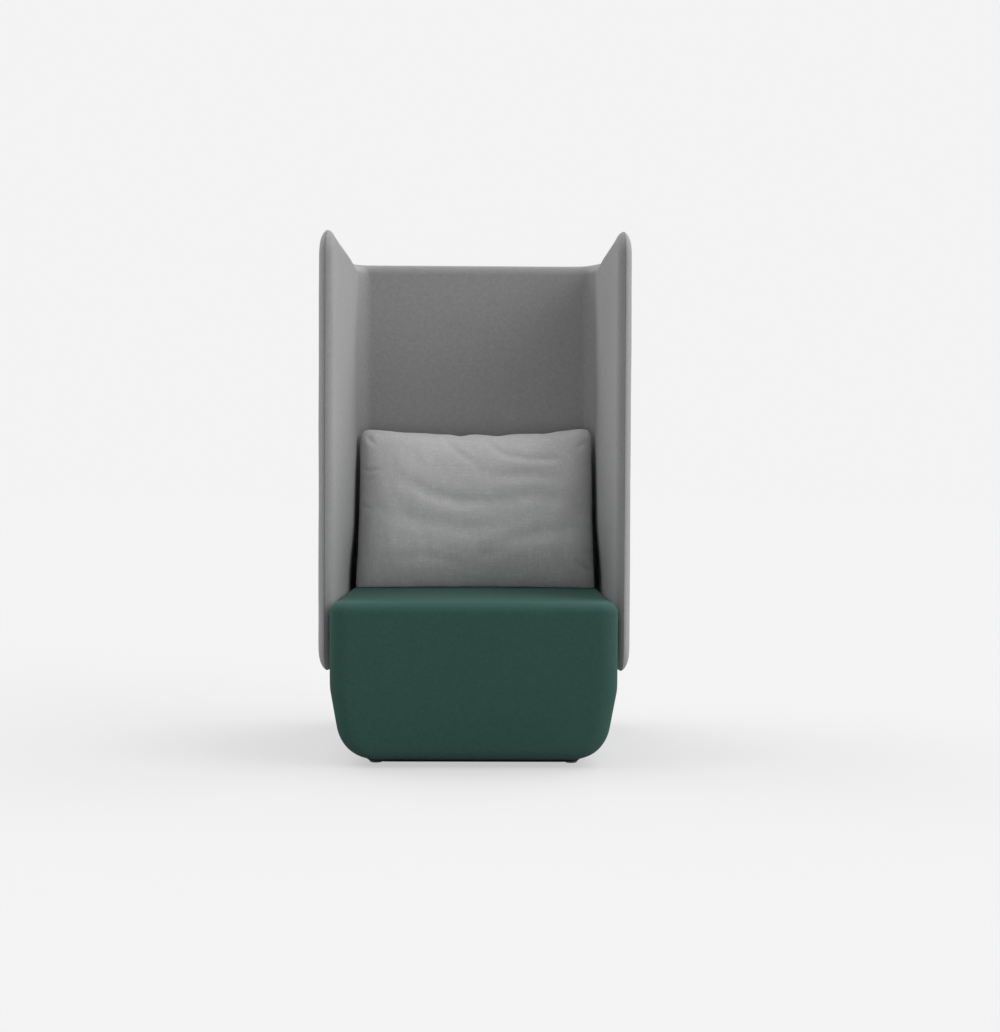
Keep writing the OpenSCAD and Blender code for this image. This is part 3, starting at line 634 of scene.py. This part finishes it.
def screen_profile(sizes, inner):
    """Depth in from the outline and distance from the middle, from the seam to the full face"""
    half = sizes.screen_t / 2
    taper = sizes.taper_inside if inner else sizes.taper_outside
    power = sizes.edge_inside if inner else sizes.edge_outside
    rows = [(depth * MM, n * MM) for depth, n in SEAM_FOLD]
    for share in TAPER_STEPS:
        rows.append((taper * share, half * (1 - (1 - share) ** power) ** (1 / power)))
    rows.append(((taper + sizes.screen_side_r) / 2, half))
    rows.append((sizes.screen_side_r, half))
    return rows


def screen_sheet(sizes, path, inner):
    """The cover laid flat: X runs along the path, Y out of the screen's middle and Z up"""
    low, high, r = SCREEN_LOW.z, SCREEN_HIGH.z, sizes.screen_side_r
    bm = bmesh.new()
    home = bm.verts.layers.float_vector.new("home")
    out = bm.verts.layers.float_vector.new("out")
    # The pressed layer holds the share of painted shade near the seam: 1 at the seam, fading away from
    # it
    pressed = bm.verts.layers.float.new("pressed")
    ring = round_outline(
        bm, [(0, 0, low), (path.length, 0, low), (path.length, 0, high), (0, 0, high)],
        [r] * 4, (LENGTH_CUTS, HEIGHT_CUTS), CORNER_STEPS)
    for point in bm.verts:
        core_x = max(r, min(path.length - r, point.co.x))
        core = Vector((core_x, 0, max(low + r, min(high - r, point.co.z))))
        point[home] = point.co
        point[out] = (point.co - core).normalized()

    def placed_at(depth, n, seam_shade_share):
        def placed(point):
            spot = point[home] - point[out] * depth
            point[pressed] = seam_shade_share
            return Vector((spot.x, n, spot.z))
        return placed

    rows = screen_profile(sizes, inner)
    # The painted shade fades with the length of profile run from the seam
    reach, along = SEAM_SHADE_INSIDE if inner else SEAM_SHADE_OUTSIDE, 0.0
    first = placed_at(*rows[0], 1.0)
    for point in bm.verts:
        point.co = first(point)
    for last, row in zip(rows, rows[1:]):
        along += math.dist(last, row) if row[1] > 0.4 * MM else 0
        ring = next_ring(bm, ring, placed_at(*row, hump(along, 0, reach)))
    bmesh.ops.remove_doubles(bm, verts=list({v for e in ring for v in e.verts}), dist=0.05 * MM)
    face_filled(bm)
    return bare(bm, "home", "out")


def face_filled(bm):
    """Fills the flat middle of the sheet with a grid from its lower to its upper end"""
    inset_ring = [e for e in bm.edges if e.is_boundary and min(v.co.y for v in e.verts) > 5 * MM]
    zs = [v.co.z for e in inset_ring for v in e.verts]
    ends = [e for e in inset_ring
            if abs(e.verts[0].co.z - e.verts[1].co.z) < 1e-6
            and (abs(e.verts[0].co.z - min(zs)) < 1e-5 or abs(e.verts[0].co.z - max(zs)) < 1e-5)]
    bridged = bmesh.ops.bridge_loops(bm, edges=ends)
    rungs = [e for e in bridged["edges"] if abs(e.verts[0].co.z - e.verts[1].co.z) > 0.5]
    bmesh.ops.subdivide_edges(bm, edges=rungs, cuts=HEIGHT_CUTS, use_grid_fill=True)
    bmesh.ops.remove_doubles(bm, verts=bm.verts, dist=0.05 * MM)
    bmesh.ops.recalc_face_normals(bm, faces=bm.faces)


def screen_cover_mesh(sizes, inner):
    """The flat cover wrapped round the path, with its padding's slack, pull, swell and lift"""
    path = ScreenPath(sizes)
    bm = screen_sheet(sizes, path, inner)
    side = 1 if inner else -1
    full = sizes.screen_t / 2
    for point in bm.verts:
        s, n, z = point.co
        spot, inward = path.at(s)
        grain = Vector((s, side * 3, z))
        share = min(1.0, n / full)
        slack = (noise.noise(grain * 5) * 0.9 + noise.noise(grain * 17) * 0.3) * MM
        n += slack * share ** 4
        drop = SCREEN_HIGH.z - z
        if inner:
            n += corner_pull(path, s, drop, share) + wing_swell(path, sizes, s, z) * share ** 3
        if n > 2 * MM:
            n += noise.noise(Vector((s * 14 + z * 14, 5, side * 2))) * 0.8 * MM * (1 - share)
        point.co = spot + inward * (side * n)
        point.co.z = z + corner_lift(path, sizes, s, drop)
    bm.normal_update()
    centre = Vector((0, SCREEN_HIGH.y, 1))
    middle = min(bm.faces, key=lambda face: (face.calc_center_median() - centre).length)
    if middle.normal.y * side > 0:
        bmesh.ops.reverse_faces(bm, faces=bm.faces)
    return bm


def corner_pull(path, s, drop, share):
    """The inner cover bridges the back corners near the top, with a short crease beside each"""
    near = min(abs(s - path.corner()), abs(path.length - s - path.corner()))
    bridge = 5 * MM * hump(near, 0, 34 * MM) * hump(drop, 0, 100 * MM)
    crease = 2.2 * MM * hump(near, 45 * MM, 7 * MM) * hump(drop, 45 * MM, 28 * MM)
    return (bridge - crease) * share ** 3


def wing_swell(path, sizes, s, z):
    """The wings' inner padding grows thicker towards the back, above the block that holds it"""
    s = min(s, path.length - s)
    turn = min(math.pi / 2, max(0.0, s - path.wing) / path.r)
    back, up = eased(s, 80 * MM, 420 * MM), eased(z, 440 * MM, 620 * MM)
    return sizes.wing_swell * math.cos(turn) * back * up


def corner_lift(path, sizes, s, drop):
    """The padding stands a little higher at the right back corner"""
    peak = path.length - path.corner() + 20 * MM
    return sizes.corner_lift * hump(s, peak, 55 * MM) * (1 - eased(drop, 0, 90 * MM))


class CHAIR_OT_screen_covers(Operator):
    """Makes the screen's inner and outer grey felt covers, which meet at the edge seam"""
    bl_idname = "chair.screen_covers"
    bl_label = "Screen covers"

    def execute(self, context):
        chair = context.scene
        cloth = felt("grey_felt", chair.chair_colours.grey_felt, 0.06)
        for name, inner in (("screen_inner_cover", True), ("screen_outer_cover", False)):
            cover = kept(screen_cover_mesh(chair.chair_sizes, inner), name, cloth, 1)
            side = "inner" if inner else "outer"
            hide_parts(f"screen_cover_{side}", f"screen_foam_{side}")
            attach(cover, "chair")
        return {"FINISHED"}


# Cushion

class Lean:
    """The cushion's own directions: v up its lean, and n out of its middle plane to the front"""

    def __init__(self, sizes):
        self.sin, self.cos = math.sin(sizes.cushion_lean), math.cos(sizes.cushion_lean)
        self.y = sizes.cushion_foot_y
        self.z = BLOCK_HIGH.z - sizes.seat_crown - sizes.cushion_sink * self.cos

    def point(self, x, v, n):
        up = self.z + v * self.cos + n * self.sin
        return Vector((x, self.y + v * self.sin - n * self.cos, up))

    def back(self, spot):
        dy, dz = spot.y - self.y, spot.z - self.z
        return spot.x, dy * self.sin + dz * self.cos, dz * self.sin - dy * self.cos


# Creases on the front of the cushion: their line in X and height, then half width and depth in mm
CREASES = (
    (((0.022, 0.868), (0.050, 0.838), (0.088, 0.815), (0.155, 0.802), (0.235, 0.804)), 13.0, 6.2),
    (((-0.100, 0.870), (-0.075, 0.840), (-0.040, 0.812), (0.002, 0.784)), 13.0, 4.4),
    (((-0.205, 0.740), (-0.150, 0.706), (-0.080, 0.683), (-0.013, 0.672)), 22.0, 5.6),
    (((-0.060, 0.680), (0.050, 0.676), (0.160, 0.694), (0.260, 0.688)), 24.0, 4.5),
    (((-0.015, 0.770), (0.060, 0.750), (0.170, 0.756), (0.240, 0.742)), 20.0, 4.0),
    (((-0.270, 0.640), (-0.160, 0.622), (-0.040, 0.598), (0.080, 0.606)), 26.0, 4.0),
    (((-0.345, 0.772), (-0.318, 0.765), (-0.290, 0.768)), 7.0, 4.5),
    (((-0.345, 0.664), (-0.312, 0.652)), 7.0, 3.0),
    (((0.345, 0.470), (0.318, 0.482), (0.292, 0.500)), 8.0, 7.0),
    (((0.345, 0.520), (0.318, 0.530)), 7.0, 4.0),
    (((0.300, 0.600), (0.200, 0.588), (0.107, 0.566), (0.016, 0.515)), 24.0, 4.0),
    (((-0.060, 0.500), (-0.140, 0.520), (-0.220, 0.508)), 16.0, 2.6),
    (((-0.330, 0.868), (-0.306, 0.846)), 8.0, 3.5),
    (((0.340, 0.860), (0.300, 0.834)), 8.0, 3.0),
)


# Dips in the cushion's top edge: place along X, half width, and depth in mm
DIPS = ((-0.052, 0.024, 6.0), (0.066, 0.026, 6.0), (0.21, 0.03, 2.0), (-0.23, 0.03, 1.5))
# Room that the cushion leaves to the screen's plain inside at the wings and the back, and to the seat
WING_ROOM, BACK_ROOM, SEAT_ROOM = 6.5 * MM, 0.6 * MM, 0.9 * MM
# Room that the cushion starts with all round, and its share of swell before it is puffed up
START_ROOM, START_SWELL = 3 * MM, 0.93


def line_distance(x, z, line):
    """Distance of a point from a line of points, and how far along the line it lies, from 0 to 1"""
    nearest, inside = 1e9, 0.0
    count = len(line) - 1
    for k in range(count):
        (x0, z0), (x1, z1) = line[k], line[k + 1]
        dx, dz = x1 - x0, z1 - z0
        share = min(1.0, max(0.0, ((x - x0) * dx + (z - z0) * dz) / (dx * dx + dz * dz)))
        distance = math.hypot(x - x0 - share * dx, z - z0 - share * dz)
        if distance < nearest:
            nearest, inside = distance, (k + share) / count
    return nearest, inside


def creased(x, z):
    """How far the creases move a point: in along each line, and a little out beside it"""
    move = 0.0
    for line, width, deep in CREASES:
        distance, along = line_distance(x, z, line)
        if distance > 4 * width * MM:
            continue
        fade = math.sin(math.pi * (0.12 + 0.76 * along)) ** 0.8
        t = distance / (width * MM)
        move += fade * deep * MM * (0.42 * hump(t, 0, 2.4) - hump(t, 0, 1))
    return move


def rounded_corner(x, v, half_w, half_h, r):
    """A point of a rectangle moved to where it lies once the corners are round"""
    over_x, over_v = abs(x) - half_w + r, abs(v) - half_h + r
    if over_x <= 0 or over_v <= 0:
        return x, v
    pull = max(over_x, over_v) / math.hypot(over_x, over_v)
    return math.copysign(half_w - r + over_x * pull, x), math.copysign(half_h - r + over_v * pull, v)


def cushion_start(sizes, share):
    """Front and back of the cushion as two bulged grids, joined all round"""
    lean = Lean(sizes)
    half_w, half_h = sizes.cushion_half_w - START_ROOM, sizes.cushion_h / 2 - START_ROOM
    bm = bmesh.new()
    for side in (1, -1):
        deep = (sizes.cushion_front if side > 0 else sizes.cushion_back) * share
        made = bmesh.ops.create_grid(bm, x_segments=44, y_segments=34, size=1)["verts"]
        for point in made:
            across = math.sin(point.co.x * math.pi / 2)
            up = math.sin(point.co.y * math.pi / 2)
            fullness = (1 - abs(across) ** 3.4) * (1 - abs(up) ** (3.2 if up > 0 else 5.5))
            x, v = rounded_corner(across * half_w, up * half_h, half_w, half_h,
                                  sizes.cushion_corner_r)
            x -= 2 * MM * across * (1 - up * up)
            ear = sizes.cushion_ear * eased(across, 0.55, 0.95)
            dip = sizes.cushion_dip * (1 - across * across) ** 1.4
            v += sizes.cushion_h / 2 + (ear - dip) * max(0, up)
            point.co = lean.point(x, v, side * deep * math.sqrt(max(0, fullness)))
    bmesh.ops.remove_doubles(bm, verts=bm.verts, dist=0.2 * MM)
    bmesh.ops.recalc_face_normals(bm, faces=bm.faces)
    return bm


def shaped(piece):
    """Applies the piece's modifiers to its mesh"""
    bpy.context.view_layer.update()
    graph = bpy.context.evaluated_depsgraph_get()
    mesh = bpy.data.meshes.new_from_object(piece.evaluated_get(graph))
    piece.modifiers.clear()
    piece.data = mesh


def puffed(piece, sizes):
    """Puffs the cushion up with the cloth solver, mostly to its front and back, up to a limit"""
    start = [v.co.copy() for v in piece.data.vertices]
    cloth = piece.modifiers.new("Puff", "CLOTH")
    rules = cloth.settings
    rules.quality = 6
    rules.mass = 0.25
    rules.tension_stiffness = rules.compression_stiffness = 14
    rules.shear_stiffness = 6
    rules.bending_stiffness = 0.4
    rules.use_pressure = True
    rules.uniform_pressure_force = 4
    rules.shrink_min = -0.035
    rules.effector_weights.gravity = 0
    cloth.collision_settings.use_collision = False
    scene = bpy.context.scene
    cloth.point_cache.frame_start, cloth.point_cache.frame_end = 1, sizes.puff_frames
    for step in range(1, sizes.puff_frames + 1):
        scene.frame_set(step)
    shaped(piece)
    scene.frame_set(1)
    lean, limit, slide_share = Lean(sizes), sizes.puff_limit, 0.15
    out = lean.point(0, 0, 1) - lean.point(0, 0, 0)
    for point, was in zip(piece.data.vertices, start):
        moved = point.co - was
        through = out * moved.dot(out)
        moved = through + (moved - through) * slide_share
        moved *= eased(lean.back(was)[1], 10 * MM, 150 * MM)
        if moved.length > 0:
            moved *= limit * math.tanh(moved.length / limit / 2) / moved.length
        point.co = was + moved


def cushion_settled(sizes, piece):
    """Creases, the edge seam, and the room to the seat, the wings and the screen's back"""
    lean = Lean(sizes)
    wall_x = SCREEN_HIGH.x - sizes.screen_t - WING_ROOM
    wall_y = SCREEN_HIGH.y - sizes.screen_t - BACK_ROOM
    bm = bmesh.new()
    bm.from_mesh(piece.data)
    for _ in range(4):
        bmesh.ops.smooth_vert(bm, verts=bm.verts, factor=0.5, use_axis_x=True, use_axis_y=True,
                              use_axis_z=True)
    bm.normal_update()
    for point in bm.verts:
        spot, facing = point.co.copy(), point.normal.copy()
        x, v, n = lean.back(spot)
        front = eased(n, 4 * MM, 26 * MM)
        grain = Vector((x * 2.0, v, n)) * 11
        lump = noise.noise(grain) * 1.8 * MM + noise.noise(grain * 2.3) * 0.7 * MM
        move = lump + creased(x, spot.z) * front
        edge = hump(n, 0, 5 * MM)
        spot += facing * (move * (1 - 0.7 * edge) + 2.4 * MM * edge)
        top = eased(v, sizes.cushion_h - 70 * MM, sizes.cushion_h - 10 * MM)
        spot.z -= sum(deep * hump(x, where, wide) for where, wide, deep in DIPS) * MM * top
        point.co = spot
    for point in bm.verts:
        point.co.x = max(-wall_x, min(wall_x, point.co.x))
        point.co.y = min(wall_y, point.co.y)
        floor = seat_height(sizes, point.co.x, point.co.y) + SEAT_ROOM
        point.co.z = max(floor, point.co.z)
    bm.to_mesh(piece.data)
    bm.free()
    mark = piece.data.attributes.new("seam", "FLOAT", "POINT")
    mark.data.foreach_set("value", [lean.back(v.co)[2] for v in piece.data.vertices])


class CHAIR_OT_back_cushion(Operator):
    """Makes the loose back cushion, puffed up with the cloth solver and creased"""
    bl_idname = "chair.back_cushion"
    bl_label = "Back cushion"

    def execute(self, context):
        sizes, colours = context.scene.chair_sizes, context.scene.chair_colours
        cloth = linen("grey_linen", colours.linen, -sizes.cushion_lean)
        cushion = kept(cushion_start(sizes, START_SWELL), "back_cushion", cloth)
        grain = cushion.modifiers.new("Even mesh", "REMESH")
        grain.mode, grain.voxel_size = "VOXEL", 6 * MM
        shaped(cushion)
        puffed(cushion, sizes)
        cushion_settled(sizes, cushion)
        for face in cushion.data.polygons:
            face.use_smooth = True
        smooth = cushion.modifiers.new("Smooth", "SUBSURF")
        smooth.levels = smooth.render_levels = 1
        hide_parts("cushion_cover_front", "cushion_cover_back", "cushion_filling")
        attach(cushion, "cushion")
        return {"FINISHED"}


# Feet

def foot_mesh(low, high):
    """A levelling foot's moulding, turned from its outline: hollow sole, cone and collar"""
    middle = (low + high) / 2
    top_r, height = (high.x - low.x) / 2, high.z - low.z
    sole_r, bore_r = top_r * 2 / 3, 4.1 * MM
    hollow, chamfer = 0.6 * MM, 0.7 * MM
    collar = height - 4 * MM
    line = [(bore_r, hollow), (sole_r - 2.6 * MM, hollow), (sole_r - 2 * MM, 0),
            (sole_r - chamfer, 0), (sole_r, 0.5 * MM), (sole_r + 0.4 * MM, 1.2 * MM),
            (top_r - 0.5 * MM, collar - 0.6 * MM), (top_r, collar + 0.4 * MM),
            (top_r, height - chamfer), (top_r - chamfer, height), (bore_r, height)]
    bm = bmesh.new()
    points = [bm.verts.new((middle.x + r, middle.y, low.z + z)) for r, z in line]
    edges = [bm.edges.new(pair) for pair in zip(points, points[1:])]
    edges.append(bm.edges.new((points[-1], points[0])))
    bmesh.ops.spin(bm, geom=points + edges, cent=(middle.x, middle.y, 0), axis=(0, 0, 1),
                   angle=math.tau, steps=64, use_merge=True)
    bmesh.ops.remove_doubles(bm, verts=bm.verts, dist=0.005 * MM)
    bmesh.ops.recalc_face_normals(bm, faces=bm.faces)
    return bm


class CHAIR_OT_feet(Operator):
    """Makes the four moulded levelling feet"""
    bl_idname = "chair.feet"
    bl_label = "Feet"

    def execute(self, context):
        plastic = moulded("foot_moulding", context.scene.chair_colours.foot_brown)
        for place in FEET:
            node = f"foot_{place}_pad"
            foot = kept(foot_mesh(*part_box(node)), f"foot_{place}_moulding", plastic)
            edges = foot.modifiers.new("Soft edges", "BEVEL")
            edges.width, edges.segments, edges.limit_method = 0.25 * MM, 2, "ANGLE"
            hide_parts(node)
            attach(foot, f"foot_{place}")
        return {"FINISHED"}


# Parts that keep their own solid

class CHAIR_OT_inner_parts(Operator):
    """Gives the frame, the padding, the hardware and the underlining their materials"""
    bl_idname = "chair.inner_parts"
    bl_label = "Inner parts"

    def execute(self, context):
        colours = context.scene.chair_colours
        finishes = (
            (open_foam("cut_foam", colours.foam),
             ("seat_foam", "front_foam", "rear_foam", "side_foam_left", "side_foam_right",
              "screen_foam_inner", "screen_foam_outer")),
            (layered_wood("birch_plywood", colours.plywood),
             ("frame_front_panel", "frame_rear_panel", "frame_centre_rib", "frame_side_left",
              "frame_side_right", "frame_floor", "corner_blocks", "screen_core")),
            (plated_steel("zinc_plated_steel", colours.steel),
             ("frame_screws", "foot_tee_nuts", "screen_bolts", "screen_washers", "screen_tee_nuts",
              *(f"foot_{place}_stud" for place in FEET))),
            (woven_elastic("elastic_webbing", colours.elastic),
             ("seat_straps_long", "seat_straps_cross")),
            (spunbond("underlining_cloth", colours.underlining), ("dust_cover",)),
            (loose_fibre("fibre_wadding", colours.fibre), ("cushion_filling",)),
        )
        for finish, names in finishes:
            for name in names:
                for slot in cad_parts[name].material_slots:
                    slot.material = finish
        return {"FINISHED"}


# Stage

EYE_PLACE, EYE_AIM = (0.0245, -3.8965, 0.7156), (0.0117, 1, -0.0202)
EYE_LENS, EYE_ROLL = 48.07, 0.00436
# Each lamp's direction, strength and spread in degrees
LAMPS = {
    "front_lamp": ((0.90, -0.45, 0.55), 1.11, 42),
    "high_right_lamp": ((0.60, 0.30, 1.0), 2.20, 50),
    "high_left_lamp": ((-0.50, 0.30, 1.0), 2.04, 50),
}
AMBIENT = 0.367
# The floor's own grey, the light that falls on it in the open, and its grey for indirect rays
FLOOR_GREY, FLOOR_LIT, FLOOR_PLAIN = 0.22, 1.667, 0.45
FLOOR_HALF = 60


def lamp(name, direction, strength, spread):
    """A soft far lamp that shines from a direction"""
    light = bpy.data.lights.new(name, "SUN")
    light.energy, light.angle = strength, math.radians(spread)
    obj = bpy.data.objects.new(name, light)
    obj.rotation_mode = "QUATERNION"
    obj.rotation_quaternion = Vector(direction).to_track_quat("Z", "Y")
    bpy.context.scene.collection.objects.link(obj)


class CHAIR_OT_stage(Operator):
    """Makes the camera, the soft lamps, the pale floor and the backdrop"""
    bl_idname = "chair.stage"
    bl_label = "Stage"

    def execute(self, context):
        scene = context.scene
        pale = scene.chair_colours.backdrop
        eye = bpy.data.objects.new("camera", bpy.data.cameras.new("camera"))
        scene.collection.objects.link(eye)
        eye.data.sensor_fit, eye.data.sensor_height = "VERTICAL", 36
        eye.data.lens = EYE_LENS
        eye.data.clip_end = 200
        eye.location = EYE_PLACE
        eye.rotation_mode = "QUATERNION"
        aim = Vector(EYE_AIM).to_track_quat("-Z", "Y")
        eye.rotation_quaternion = aim @ Quaternion((0, 0, 1), EYE_ROLL)
        scene.camera = eye

        for name, values in LAMPS.items():
            lamp(name, *values)

        world = bpy.data.worlds.new("backdrop")
        world.use_nodes = True
        tree = world.node_tree
        seen = tree.nodes.new("ShaderNodeLightPath")
        shown = tree.nodes.new("ShaderNodeBackground")
        shown.inputs["Color"].default_value = (*pale, 1)
        ambient = tree.nodes["Background"]
        ambient.inputs["Color"].default_value = (AMBIENT, AMBIENT, AMBIENT, 1)
        self.join(tree, seen, ambient.outputs[0], shown.outputs[0], tree.nodes["World Output"])
        scene.world = world

        bm = bmesh.new()
        bmesh.ops.create_grid(bm, x_segments=1, y_segments=1, size=FLOOR_HALF)
        floor = kept(bm, "floor", self.floor_material(pale))
        scene.view_settings.view_transform = "Standard"
        return {"FINISHED"}

    def join(self, tree, seen, plain, shown, output):
        """Camera, glossy and transmission rays see the pale colour, other rays the plain one"""
        link = tree.links.new
        direct = seen.outputs["Is Camera Ray"]
        for ray in ("Is Glossy Ray", "Is Transmission Ray"):
            either = tree.nodes.new("ShaderNodeMath")
            either.operation = "MAXIMUM"
            link(direct, either.inputs[0])
            link(seen.outputs[ray], either.inputs[1])
            direct = either.outputs[0]
        mix = tree.nodes.new("ShaderNodeMixShader")
        link(direct, mix.inputs[0])
        link(plain, mix.inputs[1])
        link(shown, mix.inputs[2])
        link(mix.outputs[0], output.inputs[0])

    def floor_material(self, pale):
        """Pale floor that shows the backdrop's colour in the open and keeps the chair's shadow"""
        material = bpy.data.materials.new("pale_floor")
        material.use_nodes = True
        tree = material.node_tree
        tree.nodes.clear()
        output = tree.nodes.new("ShaderNodeOutputMaterial")
        matt = tree.nodes.new("ShaderNodeBsdfDiffuse")
        matt.inputs["Color"].default_value = (FLOOR_GREY, FLOOR_GREY, FLOOR_GREY, 1)
        glow = tree.nodes.new("ShaderNodeEmission")
        glow.inputs["Color"].default_value = (*(c - FLOOR_GREY * FLOOR_LIT for c in pale), 1)
        both = tree.nodes.new("ShaderNodeAddShader")
        tree.links.new(matt.outputs[0], both.inputs[0])
        tree.links.new(glow.outputs[0], both.inputs[1])
        plain = tree.nodes.new("ShaderNodeBsdfDiffuse")
        plain.inputs["Color"].default_value = (FLOOR_PLAIN, FLOOR_PLAIN, FLOOR_PLAIN, 1)
        seen = tree.nodes.new("ShaderNodeLightPath")
        self.join(tree, seen, plain.outputs[0], both.outputs[0], output)
        return material


class CHAIR_PT_pieces(Panel):
    """Lists the chair's pieces"""
    bl_idname = "CHAIR_PT_pieces"
    bl_label = "Lounge chair"
    bl_space_type = "VIEW_3D"
    bl_region_type = "UI"
    bl_category = "Chair"

    def draw(self, context):
        for step in STEPS:
            self.layout.operator(step.bl_idname)


STEPS = (
    CHAIR_OT_block_cover,
    CHAIR_OT_screen_covers,
    CHAIR_OT_back_cushion,
    CHAIR_OT_feet,
    CHAIR_OT_inner_parts,
    CHAIR_OT_stage,
)
CLASSES = (ChairSizes, ChairColours, *STEPS, CHAIR_PT_pieces)


def register():
    for cls in CLASSES:
        bpy.utils.register_class(cls)
    bpy.types.Scene.chair_sizes = PointerProperty(type=ChairSizes)
    bpy.types.Scene.chair_colours = PointerProperty(type=ChairColours)


def unregister():
    del bpy.types.Scene.chair_colours
    del bpy.types.Scene.chair_sizes
    for cls in reversed(CLASSES):
        bpy.utils.unregister_class(cls)


def main():
    register()
    bpy.ops.chair.block_cover()
    bpy.ops.chair.screen_covers()
    bpy.ops.chair.back_cushion()
    bpy.ops.chair.feet()
    bpy.ops.chair.inner_parts()
    bpy.ops.chair.stage()


if __name__ == "__main__":
    main()
